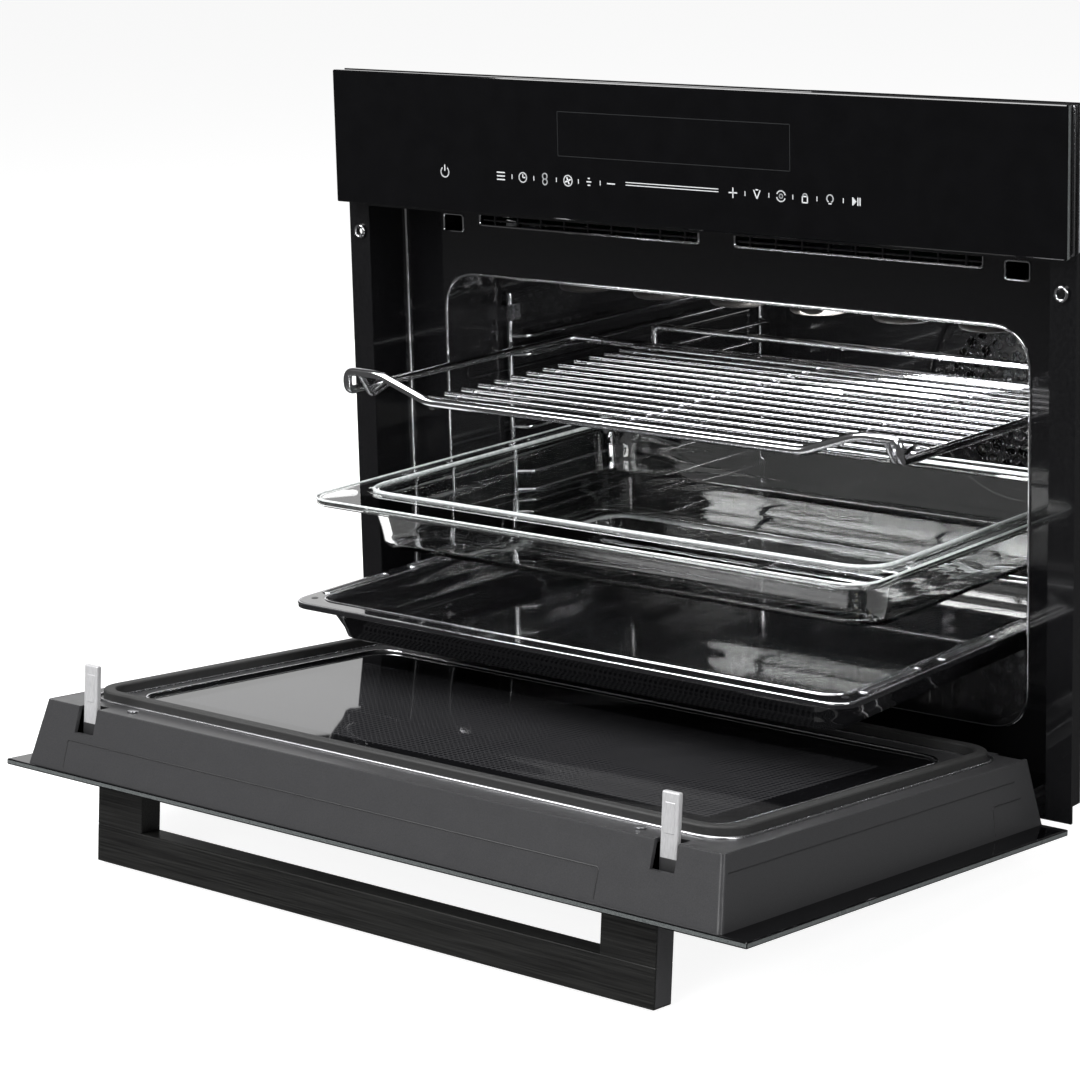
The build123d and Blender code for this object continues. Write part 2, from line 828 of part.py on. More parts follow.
# ================================================================ control panel
panel_front = front_y - panel_stand
panel_back = panel_front + panel_glass_thickness
panel_height = front_height - panel_bottom
panel_middle = panel_bottom + panel_height / 2
with BuildPart() as control_panel_glass:
    with BuildSketch(front_plane(panel_back)):
        with Locations((0, panel_middle)):
            Rectangle(front_width, panel_height)
    extrude(amount=panel_glass_thickness)
    rims = control_panel_glass.faces().sort_by(Axis.Y)[0].edges()
    chamfer(rims, 0.5)
finish(control_panel_glass.part, "control_panel_glass")

with BuildPart() as panel_carrier:
    with BuildSketch(front_plane(front_y)):
        with Locations((0, panel_middle)):
            Rectangle(front_width - 2 * panel_edge_gap, panel_height - panel_edge_gap)
            Rectangle(
                front_width - 2 * panel_edge_gap - 2 * panel_wall,
                panel_height - panel_edge_gap - 2 * panel_wall,
                mode=Mode.SUBTRACT,
            )
    extrude(amount=front_y - panel_back)
finish(panel_carrier.part, "panel_carrier")

with BuildPart() as display_module:
    with BuildSketch(front_plane(panel_back + 7)):
        with Locations((display_x, display_z)):
            Rectangle(display_width, display_height)
    extrude(amount=7)
finish(display_module.part, "display_module")

with BuildPart() as touch_board:
    with BuildSketch(front_plane(panel_back + board_thickness)):
        with Locations((0, touch_z)):
            Rectangle(touch_width, touch_height)
    extrude(amount=board_thickness)
    with BuildSketch(front_plane(panel_back + board_thickness)):
        with Locations((0, touch_z)):
            with GridLocations(60, 0, 6, 1):
                Rectangle(24, 14)
    extrude(amount=-4)
finish(touch_board.part, "touch_board")

# ================================================================ door hinges, fixed half
arm_half = hinge_arm_width / 2
cheek_inner = arm_half + hinge_side_gap


def hinge_receiver(name, side):
    """Fork on the recess floor whose two cheeks carry the hinge pin."""
    with BuildPart() as receiver:
        for inner in (cheek_inner, -cheek_inner - hinge_cheek):
            with BuildSketch(side_view.offset(side * hinge_x + inner)):
                with Locations((hinge_y, hinge_z)):
                    Circle(hinge_radius)
                with Locations(((hinge_y + flange_y) / 2, (sheet + receiver_height) / 2)):
                    Rectangle(flange_y - hinge_y, receiver_height - sheet)
            extrude(amount=hinge_cheek)
        with BuildSketch(Plane.XY.offset(sheet)):
            with Locations((side * hinge_x, flange_y / 2 + 2)):
                Rectangle(2 * (cheek_inner + hinge_cheek), flange_y - 4)
        extrude(amount=receiver_floor)
        with BuildSketch(side_view.offset(side * hinge_x - cheek_inner - hinge_cheek)):
            with Locations((hinge_y, hinge_z)):
                Circle(hinge_pin_radius)
        extrude(amount=2 * (cheek_inner + hinge_cheek), mode=Mode.SUBTRACT)
    finish(receiver.part, name)


hinge_receiver("hinge_receiver_left", -1)
hinge_receiver("hinge_receiver_right", 1)

with BuildPart() as hinge_pins:
    for pin_side in (-1, 1):
        with BuildSketch(side_view.offset(pin_side * hinge_x - cheek_inner - hinge_cheek)):
            with Locations((hinge_y, hinge_z)):
                Circle(hinge_pin_radius)
        extrude(amount=2 * (cheek_inner + hinge_cheek))
finish(hinge_pins.part, "hinge_pins")


def latch_housing(name, side):
    """Interlock switch box behind one latch slot, open towards the hook."""
    middle = slot_bottom + slot_height / 2
    with BuildPart() as housing:
        with BuildSketch(front_plane(inner_y + 34)):
            with Locations((side * slot_x, middle)):
                Rectangle(slot_width + 8, slot_height + 10)
        extrude(amount=34)
        with BuildSketch(front_plane(inner_y + 30)):
            with Locations((side * slot_x, middle)):
                Rectangle(slot_width + 2, slot_height + 4)
        extrude(amount=30, mode=Mode.SUBTRACT)
    finish(housing.part, name)


latch_housing("latch_housing_left", -1)
latch_housing("latch_housing_right", 1)

# ================================================================ door
inner_w = -door_body_inner


def door_outline(toe, top, width):
    """Rectangle across the door from height toe to height top, added to the current sketch."""
    with Locations((0, (toe + top) / 2)):
        Rectangle(width, top - toe)


face_width = door_body_width - 2 * door_side_taper
face_top = door_body_top - door_top_taper
with BuildPart() as door_housing:
    with BuildSketch(door_plane.offset(glass_stand)):
        door_outline(door_body_toe, door_body_top, door_body_width)
    with BuildSketch(door_plane.offset(inner_w)):
        door_outline(door_body_heel, face_top, face_width)
    loft(ruled=True)
    corners = door_housing.edges().filter_by(lambda e: abs(e.tangent_at(0.5).dot(door_out)) > 0.9)
    fillet(corners, 3)
    with BuildSketch(door_plane.offset(glass_stand)):
        door_outline(door_body_toe + door_wall, door_body_top - door_wall, door_body_width - 2 * door_wall)
    with BuildSketch(door_plane.offset(inner_w + door_wall)):
        door_outline(door_body_heel + door_wall, face_top - door_wall, face_width - 2 * door_wall)
    loft(ruled=True, mode=Mode.SUBTRACT)
    with BuildSketch(door_plane.offset(inner_w)):
        with Locations((0, window_bottom + window_height / 2)):
            RectangleRounded(
                window_width + 2 * window_gap, window_height + 2 * window_gap, window_corner + window_gap
            )
    extrude(amount=door_wall, mode=Mode.SUBTRACT)
    with BuildSketch(door_plane.offset(inner_w)):
        for pocket_side in (-1, 1):
            with Locations((pocket_side * hinge_x, hinge_pocket_height / 2 - 3)):
                Rectangle(hinge_pocket_width, hinge_pocket_height + 6)
    extrude(amount=door_body_inner + glass_stand, mode=Mode.SUBTRACT)
    with BuildSketch(door_plane.offset(inner_w)):
        for notch_side in (-1, 1):
            notch_height = door_body_top - hook_notch_bottom + 1
            with Locations((notch_side * slot_x, hook_notch_bottom + notch_height / 2)):
                Rectangle(hook_notch_width, notch_height)
    extrude(amount=hook_notch_depth, mode=Mode.SUBTRACT)
    cheek_foot = hook_u - hook_boss
    cheek_top = door_body_top - 6.5
    for hook_side in (-1, 1):
        for cheek_side in (-1, 1):
            offset_x = hook_side * slot_x + cheek_side * (hook_width / 2 + hook_side_gap + hook_cheek / 2)
            with BuildSketch(door_side.offset(offset_x - hook_cheek / 2)):
                with Locations(((cheek_foot + cheek_top) / 2, hook_w)):
                    Rectangle(cheek_top - cheek_foot, 2 * hook_boss)
                with Locations((hook_u, hook_w)):
                    Circle(hook_pin_radius, mode=Mode.SUBTRACT)
            extrude(amount=hook_cheek)
finish(door_housing.part, "door_housing")

with BuildPart() as door_outer_glass:
    with BuildSketch(door_plane.offset(glass_stand)):
        with Locations((0, door_glass_length / 2)):
            RectangleRounded(front_width, door_glass_length, 1.5)
        screw_x = (handle_width - handle_leg) / 2
        screw_u = handle_top - handle_thickness / 2
        with Locations((screw_x, screw_u), (-screw_x, screw_u)):
            Circle(handle_screw_radius + 0.6, mode=Mode.SUBTRACT)
    extrude(amount=door_glass_thickness)
finish(door_outer_glass.part, "door_outer_glass")

inner_glass_face = inner_w + inner_glass_sink
with BuildPart() as door_inner_glass:
    with BuildSketch(door_plane.offset(inner_glass_face)):
        with Locations((0, window_bottom + window_height / 2)):
            RectangleRounded(window_width, window_height, window_corner)
    extrude(amount=inner_glass_thickness)
finish(door_inner_glass.part, "door_inner_glass")

screen_face = inner_glass_face + inner_glass_thickness
with BuildPart() as door_screen:
    with BuildSketch(door_plane.offset(screen_face)):
        with Locations((0, window_bottom + window_height / 2)):
            Rectangle(window_width + 2 * screen_margin, window_height + 2 * screen_margin)
    extrude(amount=screen_sheet)
    with BuildSketch(door_plane.offset(inner_w + door_wall)):
        with Locations((0, window_bottom + window_height / 2)):
            Rectangle(window_width + 2 * screen_margin, window_height + 2 * screen_margin)
            RectangleRounded(window_width + 4, window_height + 4, window_corner + 2, mode=Mode.SUBTRACT)
    extrude(amount=screen_face - inner_w - door_wall)
finish(door_screen.part, "door_screen")

with BuildPart() as door_middle_glass:
    with BuildSketch(door_plane.offset(-middle_glass_depth)):
        with Locations((0, middle_glass_bottom + middle_glass_length / 2)):
            Rectangle(middle_glass_width, middle_glass_length)
    extrude(amount=middle_glass_thickness)
finish(door_middle_glass.part, "door_middle_glass")

with BuildPart() as glass_spacers:
    spacer_x = (middle_glass_width - spacer_width) / 2 - 8
    with BuildSketch(door_plane.offset(screen_face + screen_sheet)):
        with Locations((0, middle_glass_bottom + middle_glass_length / 2 + 8)):
            with GridLocations(2 * (window_width / 2 - 6), 0, 2, 1):
                Rectangle(spacer_width, middle_glass_length - 40)
    extrude(amount=-middle_glass_depth - screen_face - screen_sheet)
    with BuildSketch(door_plane.offset(middle_glass_thickness - middle_glass_depth)):
        with Locations((0, middle_glass_bottom + middle_glass_length / 2 + 8)):
            with GridLocations(2 * (window_width / 2 - 6), 0, 2, 1):
                Rectangle(spacer_width, middle_glass_length - 40)
    extrude(amount=glass_stand - middle_glass_thickness + middle_glass_depth)
finish(glass_spacers.part, "glass_spacers")

seal_height_off = recess_depth - door_body_inner + hinge_offset - seal_gap
with BuildPart() as door_seal:
    with BuildSketch(door_plane.offset(inner_w - seal_height_off)):
        with Locations((0, seal_bottom + seal_height / 2)):
            RectangleRounded(seal_width, seal_height, seal_corner)
            RectangleRounded(
                seal_width - 2 * seal_band,
                seal_height - 2 * seal_band,
                seal_corner - seal_band,
                mode=Mode.SUBTRACT,
            )
    extrude(amount=seal_height_off)
    crest = door_seal.faces().filter_by(Plane(origin=(0, 0, 0), z_dir=door_out)).sort_by(SortBy.DISTANCE)
    crest_face = max(crest, key=lambda f: -(f.center() - door_origin).dot(door_out))
    fillet(crest_face.edges(), 1.5)
finish(door_seal.part, "door_seal")


def door_hinge(name, side):
    """Moving hinge arm: an eye on the pin and a bar up the door, with a foot on the side wall."""
    with BuildPart() as arm:
        with BuildSketch(door_side.offset(side * hinge_x - arm_half)):
            Circle(hinge_radius)
            with Locations((hinge_arm_length / 2, 0)):
                Rectangle(hinge_arm_length, 2 * hinge_radius)
            Circle(hinge_pin_radius + running_gap, mode=Mode.SUBTRACT)
        extrude(amount=hinge_arm_width)
        wall_x = door_body_width / 2 - door_wall - 2
        with BuildSketch(door_plane.offset(-hinge_radius)):
            with Locations((side * (hinge_x + wall_x) / 2, hinge_arm_length * 0.65)):
                Rectangle(wall_x - hinge_x, hinge_arm_length * 0.5)
        extrude(amount=3)
    finish(arm.part, name)


door_hinge("door_hinge_left", -1)
door_hinge("door_hinge_right", 1)


def latch_hook(name, side):
    """Sprung tongue that enters the latch slot and works the interlock switches."""
    with BuildPart() as hook:
        with BuildSketch(door_side.offset(side * slot_x - hook_width / 2)):
            with Locations((hook_u, hook_w)):
                Circle(hook_boss)
            with Locations((hook_u, (hook_w - hook_reach) / 2)):
                Rectangle(hook_thickness, hook_reach + hook_w)
            with Locations((hook_u, hook_w)):
                Circle(hook_pin_radius + running_gap, mode=Mode.SUBTRACT)
        extrude(amount=hook_width)
    finish(hook.part, name)


latch_hook("latch_hook_left", -1)
latch_hook("latch_hook_right", 1)

with BuildPart() as hook_pins:
    for hook_side in (-1, 1):
        hook_pin_half = hook_width / 2 + hook_side_gap + hook_cheek
        with BuildSketch(door_side.offset(hook_side * slot_x - hook_pin_half)):
            with Locations((hook_u, hook_w)):
                Circle(hook_pin_radius)
        extrude(amount=2 * hook_pin_half)
finish(hook_pins.part, "hook_pins")

handle_foot = glass_stand + door_glass_thickness
handle_plane = Plane(origin=door_point(handle_top, 0), x_dir=(1, 0, 0), z_dir=-door_up)
with BuildPart() as handle:
    with BuildSketch(handle_plane):
        with Locations((0, handle_foot + handle_stand / 2)):
            Rectangle(handle_width, handle_stand)
        with Locations((0, handle_foot + (handle_stand - handle_bar) / 2)):
            Rectangle(handle_width - 2 * handle_leg, handle_stand - handle_bar, mode=Mode.SUBTRACT)
    extrude(amount=handle_thickness)
    with BuildSketch(door_plane.offset(handle_foot)):
        with Locations((screw_x, screw_u), (-screw_x, screw_u)):
            Circle(handle_screw_radius)
    extrude(amount=handle_screw_depth, mode=Mode.SUBTRACT)
finish(handle.part, "handle")

with BuildPart() as handle_screws:
    with BuildSketch(door_plane.offset(glass_stand - handle_screw_head_height)):
        with Locations((screw_x, screw_u), (-screw_x, screw_u)):
            Circle(handle_screw_head)
    extrude(amount=handle_screw_head_height)
    with BuildSketch(door_plane.offset(glass_stand)):
        with Locations((screw_x, screw_u), (-screw_x, screw_u)):
            Circle(handle_screw_radius)
    extrude(amount=door_glass_thickness + handle_screw_depth - 1)
finish(handle_screws.part, "handle_screws")

# ================================================================ shelf and trays
shelf_front = front_y - shelf_out
shelf_z = level(shelf_level) - shelf_sink
shelf_rear = shelf_front + shelf_depth
frame_rear = shelf_rear - shelf_wire
front_bar = shelf_front + shelf_wire
grid_z = shelf_z - shelf_drop
shelf_rail = rim_width / 2 - shelf_wire
shelf_top = shelf_z + shelf_rise


def wire(points, radius, bend):
    """One round wire bent along a line of points."""
    with BuildPart() as bent_wire:
        with BuildLine():
            FilletPolyline(*points, radius=bend)
        direction = Vector(*points[1]) - Vector(*points[0])
        with BuildSketch(Plane(origin=points[0], z_dir=direction)):
            Circle(radius)
        sweep()
    return bent_wire.part


edge_wire = [
    (0, front_bar, grid_z),
    (shelf_dip, front_bar, grid_z),
    (shelf_shoulder, front_bar, shelf_top),
    (shelf_rail, front_bar, shelf_top),
    (shelf_rail, front_bar, shelf_z),
    (shelf_rail, frame_rear, shelf_z),
    (0, frame_rear, shelf_z),
]
guard_z = shelf_z + guard_rise
guard_wire = [
    (-guard_left, frame_rear, shelf_z),
    (-guard_left, frame_rear, guard_z),
    (guard_right, frame_rear, guard_z),
    (guard_right, frame_rear, shelf_z),
]
grid_pitch = (shelf_depth - grid_front_gap - grid_rear_gap) / (grid_count - 1)
bar_drop = shelf_wire + grid_wire / 2
with BuildPart() as wire_shelf:
    add(wire(edge_wire, shelf_wire, 3.6))
    mirror(about=Plane.YZ)
    add(wire(guard_wire, 2.4, 3))
    for row in range(grid_count):
        with BuildSketch(Plane.YZ.offset(-grid_left)):
            with Locations((shelf_front + grid_front_gap + row * grid_pitch, shelf_z)):
                Circle(grid_wire)
        extrude(amount=grid_left + grid_right)
    for bar_x in grid_bars:
        with BuildSketch(front_plane(frame_rear)):
            with Locations((bar_x, shelf_z - bar_drop)):
                Circle(grid_wire * 1.2)
        extrude(amount=frame_rear - front_bar)
    for stop_side in (-1, 1):
        stop_points = [
            (stop_side * stop_x, front_bar, shelf_top),
            (stop_side * stop_x, front_bar + stop_length * 0.35, shelf_z - 4),
            (stop_side * stop_x, front_bar + stop_length, shelf_z + 3),
            (stop_side * shelf_rail, front_bar + stop_length + 6, shelf_z),
        ]
        add(wire(stop_points, 2.2, 3))
finish(wire_shelf.part, "wire_shelf")

glass_front = front_y - glass_out
glass_rear = glass_front + tray_depth
glass_z = level(glass_level)
with BuildPart() as glass_tray:
    basin_width = rim_width - 2 * glass_rim_side
    basin_front = glass_front + glass_rim_front
    basin_depth = tray_depth - glass_rim_front - glass_rim_side
    basin_y = basin_front + basin_depth / 2
    with BuildSketch(Plane.XY.offset(glass_z - glass_wall)):
        with Locations((0, (glass_front + glass_rear) / 2)):
            RectangleRounded(rim_width, tray_depth, 16)
    extrude(amount=glass_wall)
    with BuildSketch(Plane.XY.offset(glass_z - glass_wall)):
        with Locations((0, basin_y)):
            RectangleRounded(basin_width + 2 * glass_wall, basin_depth + 2 * glass_wall, 30)
    with BuildSketch(Plane.XY.offset(glass_z - glass_height)):
        with Locations((0, basin_y)):
            RectangleRounded(
                basin_width + 2 * glass_wall - 2 * glass_slope,
                basin_depth + 2 * glass_wall - 2 * glass_slope,
                26,
            )
    loft()
    with BuildSketch(Plane.XY.offset(glass_z)):
        with Locations((0, basin_y)):
            RectangleRounded(basin_width, basin_depth, 27)
    with BuildSketch(Plane.XY.offset(glass_z - glass_height + glass_wall)):
        with Locations((0, basin_y)):
            RectangleRounded(basin_width - 2 * glass_slope, basin_depth - 2 * glass_slope, 22)
    loft(mode=Mode.SUBTRACT)
    fillet(glass_tray.faces().sort_by(Axis.Z)[0].edges(), 3)
finish(glass_tray.part, "glass_tray")

baking_front = front_y - baking_out
baking_rear = baking_front + tray_depth
baking_z = level(baking_level)
with BuildPart() as baking_tray:
    pan_width = rim_width - 2 * baking_rim
    pan_depth = tray_depth - 2 * baking_rim
    baking_y = (baking_front + baking_rear) / 2
    with BuildSketch(Plane.XY.offset(baking_z - baking_lip)):
        with Locations((0, baking_y)):
            RectangleRounded(rim_width, tray_depth, 18)
            RectangleRounded(
                rim_width - 2 * baking_sheet,
                tray_depth - 2 * baking_sheet,
                16.5,
                mode=Mode.SUBTRACT,
            )
    extrude(amount=baking_lip)
    with BuildSketch(Plane.XY.offset(baking_z - baking_sheet)):
        with Locations((0, baking_y)):
            RectangleRounded(rim_width, tray_depth, 18)
    extrude(amount=baking_sheet)
    with BuildSketch(Plane.XY.offset(baking_z - baking_sheet)):
        with Locations((0, baking_y)):
            RectangleRounded(pan_width + 2 * baking_sheet, pan_depth + 2 * baking_sheet, 16)
    with BuildSketch(Plane.XY.offset(baking_z - baking_tray_height)):
        with Locations((0, baking_y)):
            RectangleRounded(
                pan_width + 2 * baking_sheet - 2 * baking_slope,
                pan_depth + 2 * baking_sheet - 2 * baking_slope,
                14,
            )
    loft()
    with BuildSketch(Plane.XY.offset(baking_z)):
        with Locations((0, baking_y)):
            RectangleRounded(pan_width, pan_depth, 15)
    with BuildSketch(Plane.XY.offset(baking_z - baking_tray_height + baking_sheet)):
        with Locations((0, baking_y)):
            RectangleRounded(pan_width - 2 * baking_slope, pan_depth - 2 * baking_slope, 12.5)
    loft(mode=Mode.SUBTRACT)
    slot_middle = rim_width / 2 - baking_rim / 2 - 0.5
    with BuildSketch(Plane.XY.offset(baking_z - baking_sheet)):
        for rim_side in (-1, 1):
            slot_across = rim_side * slot_middle
            with Locations((slot_across, baking_front + 62), (slot_across, baking_front + 152)):
                SlotOverall(64, 5, rotation=90)
            with Locations((rim_side * (slot_middle - 3), baking_front + 16)):
                Circle(2.4)
    extrude(amount=baking_sheet, mode=Mode.SUBTRACT)
finish(baking_tray.part, "baking_tray")

# ================================================================ fasteners
with BuildPart() as case_screws:
    for screw_side in (-1, 1):
        for screw_z in (60, 190, 300):
            for screw_y in (90, 470):
                with BuildSketch(side_view.offset(screw_side * body_width / 2)):
                    with Locations((screw_y, screw_z)):
                        Circle(4)
                extrude(amount=screw_side * 1.8)
finish(case_screws.part, "case_screws")
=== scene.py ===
"""Looks of a compact built-in wall oven: panel print, glass, enamel, chrome wire and door."""

import logging
from dataclasses import dataclass
from enum import Enum
from math import cos, pi, radians, sin

import bmesh
import bpy
from mathutils import Matrix, Vector


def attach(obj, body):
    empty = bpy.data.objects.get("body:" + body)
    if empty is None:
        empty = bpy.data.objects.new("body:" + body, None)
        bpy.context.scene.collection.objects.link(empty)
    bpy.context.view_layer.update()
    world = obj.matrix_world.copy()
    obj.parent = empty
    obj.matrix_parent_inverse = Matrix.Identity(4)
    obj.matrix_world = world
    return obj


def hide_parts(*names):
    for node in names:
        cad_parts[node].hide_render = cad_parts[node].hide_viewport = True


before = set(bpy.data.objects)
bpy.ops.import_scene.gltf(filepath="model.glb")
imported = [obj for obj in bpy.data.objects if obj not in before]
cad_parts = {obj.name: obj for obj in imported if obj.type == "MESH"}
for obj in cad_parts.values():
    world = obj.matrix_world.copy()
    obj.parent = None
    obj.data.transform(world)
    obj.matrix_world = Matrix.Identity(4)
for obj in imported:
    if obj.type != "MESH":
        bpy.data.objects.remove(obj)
log = logging.getLogger("wall_oven")

MM = 0.001


class Axis(Enum):
    """A direction of the row frame."""

    X = (1.0, 0.0, 0.0)
    Y = (0.0, 1.0, 0.0)
    Z = (0.0, 0.0, 1.0)


class Body(Enum):
    """The moving groups that pieces ride on."""

    OVEN = "oven"
    DOOR = "door"
    SHELF = "shelf"
    DISH = "roasting_dish"
    SHEET = "baking_sheet"
    LATCH_LEFT = "latch_left"
    LATCH_RIGHT = "latch_right"


# ------------------------------------------------------------------ finishes
class NodeTree:
    """A new material with an empty tree, a principled shader and its output."""

    def __init__(self, name: str) -> None:
        self.material = bpy.data.materials.new(name)
        self.material.use_nodes = True
        self.tree = self.material.node_tree
        self.tree.nodes.clear()
        self.output = self.add("ShaderNodeOutputMaterial")
        self.shader = self.add("ShaderNodeBsdfPrincipled")
        self.link(self.shader, "BSDF", self.output, "Surface")

    def add(self, kind: str, **inputs: object) -> bpy.types.Node:
        """Adds a node and sets its input values by name.

        Args:
            kind: the node's type name.
            inputs: input names, with underscores for spaces, and their values.
        Returns:
            The node.
        """
        node = self.tree.nodes.new(kind)
        for key, value in inputs.items():
            node.inputs[key.replace("_", " ")].default_value = value
        return node

    def link(self, source: bpy.types.Node, out: str, target: bpy.types.Node, into: str) -> None:
        """Joins one node's output to another's input."""
        self.tree.links.new(source.outputs[out], target.inputs[into])

    def coordinates(self, scale: tuple[float, float, float], turn: float = 0.0) -> bpy.types.Node:
        """Object coordinates through a mapping.

        Args:
            scale: the mapping's scale.
            turn: turn about X, in radians.
        Returns:
            The mapping node.
        """
        place = self.add("ShaderNodeTexCoord")
        mapping = self.add("ShaderNodeMapping")
        mapping.inputs["Scale"].default_value = scale
        mapping.inputs["Rotation"].default_value = (turn, 0.0, 0.0)
        self.link(place, "Object", mapping, "Vector")
        return mapping

    def noise(self, scale: float, detail: float, stretch: tuple[float, float, float]) -> bpy.types.Node:
        """Noise on stretched object coordinates."""
        node = self.add("ShaderNodeTexNoise", Scale=scale, Detail=detail)
        self.link(self.coordinates(stretch), "Vector", node, "Vector")
        return node

    def ramp(
        self, source: bpy.types.Node, out: str, low: tuple, high: tuple, ends: tuple
    ) -> bpy.types.Node:
        """A two-stop colour ramp fed by a value."""
        node = self.add("ShaderNodeValToRGB")
        node.color_ramp.elements[0].position = ends[0]
        node.color_ramp.elements[0].color = (*low, 1.0)
        node.color_ramp.elements[1].position = ends[1]
        node.color_ramp.elements[1].color = (*high, 1.0)
        self.link(source, out, node, "Fac")
        return node

    def spread(self, source: bpy.types.Node, out: str, low: float, high: float, into: str) -> None:
        """Maps a 0 to 1 value to a range on one of the shader's inputs."""
        node = self.add("ShaderNodeMapRange", To_Min=low, To_Max=high)
        self.link(source, out, node, "Value")
        self.link(node, "Result", self.shader, into)

    def bump(self, source: bpy.types.Node, out: str, strength: float, distance: float) -> None:
        """Feeds a height to the shader's normal."""
        node = self.add("ShaderNodeBump", Strength=strength, Distance=distance)
        self.link(source, out, node, "Height")
        self.link(node, "Normal", self.shader, "Normal")


@dataclass(frozen=True)
class Coat:
    """Enamel, lacquer, plastic or bare metal with a grain of its own.

    Args:
        name: material name.
        dark: darker colour of the mottle.
        light: lighter colour of the mottle.
        metal: metallic share.
        rough: lowest and highest roughness.
        scale: noise scale, per metre.
        stretch: object coordinate stretch, which turns mottle into brushing.
        height: bump distance, in metres.
        strength: bump strength.
        coat: clear coat weight.
        coat_rough: clear coat roughness.
    """

    name: str
    dark: tuple[float, float, float]
    light: tuple[float, float, float]
    metal: float
    rough: tuple[float, float]
    scale: float
    stretch: tuple[float, float, float] = (1.0, 1.0, 1.0)
    height: float = 0.00005
    strength: float = 0.2
    coat: float = 0.0
    coat_rough: float = 0.03

    def make(self) -> bpy.types.Material:
        """Builds the material.

        Returns:
            The material.
        """
        nodes = NodeTree(self.name)
        grain = nodes.noise(self.scale, 6.0, self.stretch)
        mottle = nodes.ramp(grain, "Fac", self.dark, self.light, (0.3, 0.7))
        nodes.link(mottle, "Color", nodes.shader, "Base Color")
        broad = nodes.noise(self.scale * 0.06, 3.0, self.stretch)
        nodes.spread(broad, "Fac", *self.rough, "Roughness")
        nodes.shader.inputs["Metallic"].default_value = self.metal
        nodes.shader.inputs["Coat Weight"].default_value = self.coat
        nodes.shader.inputs["Coat Roughness"].default_value = self.coat_rough
        nodes.bump(grain, "Fac", self.strength, self.height)
        return nodes.material


@dataclass(frozen=True)
class Spangle:
    """Zinc coating with crystal flakes.

    Args:
        name: material name.
        dark: darkest flake colour.
        light: lightest flake colour.
        scale: flakes per metre.
    """

    name: str
    dark: tuple[float, float, float]
    light: tuple[float, float, float]
    scale: float

    def make(self) -> bpy.types.Material:
        """Builds the material.

        Returns:
            The material.
        """
        nodes = NodeTree(self.name)
        flake = nodes.add("ShaderNodeTexVoronoi", Scale=self.scale)
        nodes.link(nodes.coordinates((1, 1, 1)), "Vector", flake, "Vector")
        split = nodes.add("ShaderNodeSeparateColor")
        nodes.link(flake, "Color", split, "Color")
        tone = nodes.ramp(split, "Red", self.dark, self.light, (0.0, 1.0))
        nodes.link(tone, "Color", nodes.shader, "Base Color")
        nodes.spread(split, "Green", 0.28, 0.46, "Roughness")
        nodes.shader.inputs["Metallic"].default_value = 0.65
        nodes.bump(nodes.noise(self.scale * 6, 3.0, (1, 1, 1)), "Fac", 0.1, 0.00004)
        return nodes.material


@dataclass(frozen=True)
class Glass:
    """Clear glass with a faint waviness and a film of dust.

    Args:
        name: material name.
        tint: glass colour.
        wave: waviness noise scale, per metre.
        depth: waviness height, in metres.
        film: roughness where dust lies.
    """

    name: str
    tint: tuple[float, float, float]
    wave: float
    depth: float
    film: float

    def make(self) -> bpy.types.Material:
        """Builds the material.

        Returns:
            The material.
        """
        nodes = NodeTree(self.name)
        nodes.shader.inputs["Base Color"].default_value = (*self.tint, 1.0)
        nodes.shader.inputs["Transmission Weight"].default_value = 1.0
        nodes.shader.inputs["IOR"].default_value = 1.47
        wave = nodes.noise(self.wave, 2.0, (1, 1, 1))
        nodes.spread(nodes.noise(self.wave * 8, 6.0, (1, 1, 1)), "Fac", 0.0, self.film, "Roughness")
        nodes.bump(wave, "Fac", 0.35, self.depth)
        return nodes.material


@dataclass(frozen=True)
class Screened:
    """Dark glass with a dotted microwave screen seen behind it.

    Args:
        name: material name.
        pitch: distance between screen holes, in metres.
        half: half size of the screened window, across and up the door, in metres.
        middle: height of the window's middle up the door, in metres.
        turn: turn that lays the door flat, in radians.
    """

    name: str
    pitch: float
    half: tuple[float, float]
    middle: float
    turn: float

    def make(self) -> bpy.types.Material:
        """Builds the material.

        Returns:
            The material.
        """
        nodes = NodeTree(self.name)
        place = nodes.coordinates((1, 1, 1), self.turn)
        dots = nodes.add("ShaderNodeTexVoronoi", Scale=1.0 / self.pitch, Randomness=0.0)
        nodes.link(place, "Vector", dots, "Vector")
        tone = nodes.ramp(dots, "Distance", (0.002, 0.002, 0.003), (0.034, 0.034, 0.036), (0.34, 0.42))
        axes = nodes.add("ShaderNodeSeparateXYZ")
        nodes.link(place, "Vector", axes, "Vector")
        inside = []
        for axis, middle, half in (("X", 0.0, self.half[0]), ("Y", -self.middle, self.half[1])):
            near = nodes.add("ShaderNodeMath")
            near.operation = "COMPARE"
            nodes.link(axes, axis, near, "Value")
            near.inputs[1].default_value = middle
            near.inputs[2].default_value = half
            inside.append(near)
        both = nodes.add("ShaderNodeMath")
        both.operation = "MULTIPLY"
        nodes.tree.links.new(inside[0].outputs[0], both.inputs[0])
        nodes.tree.links.new(inside[1].outputs[0], both.inputs[1])
        mix = nodes.add("ShaderNodeMix")
        mix.data_type = "RGBA"
        nodes.tree.links.new(both.outputs[0], mix.inputs[0])
        mix.inputs[6].default_value = (0.004, 0.004, 0.0045, 1.0)
        nodes.tree.links.new(tone.outputs["Color"], mix.inputs[7])
        nodes.tree.links.new(mix.outputs[2], nodes.shader.inputs["Base Color"])
        nodes.spread(nodes.noise(900, 5.0, (1, 1, 1)), "Fac", 0.015, 0.07, "Roughness")
        nodes.shader.inputs["IOR"].default_value = 1.52
        nodes.bump(nodes.noise(9, 2.0, (1, 1, 1)), "Fac", 0.1, 0.0004)
        return nodes.material


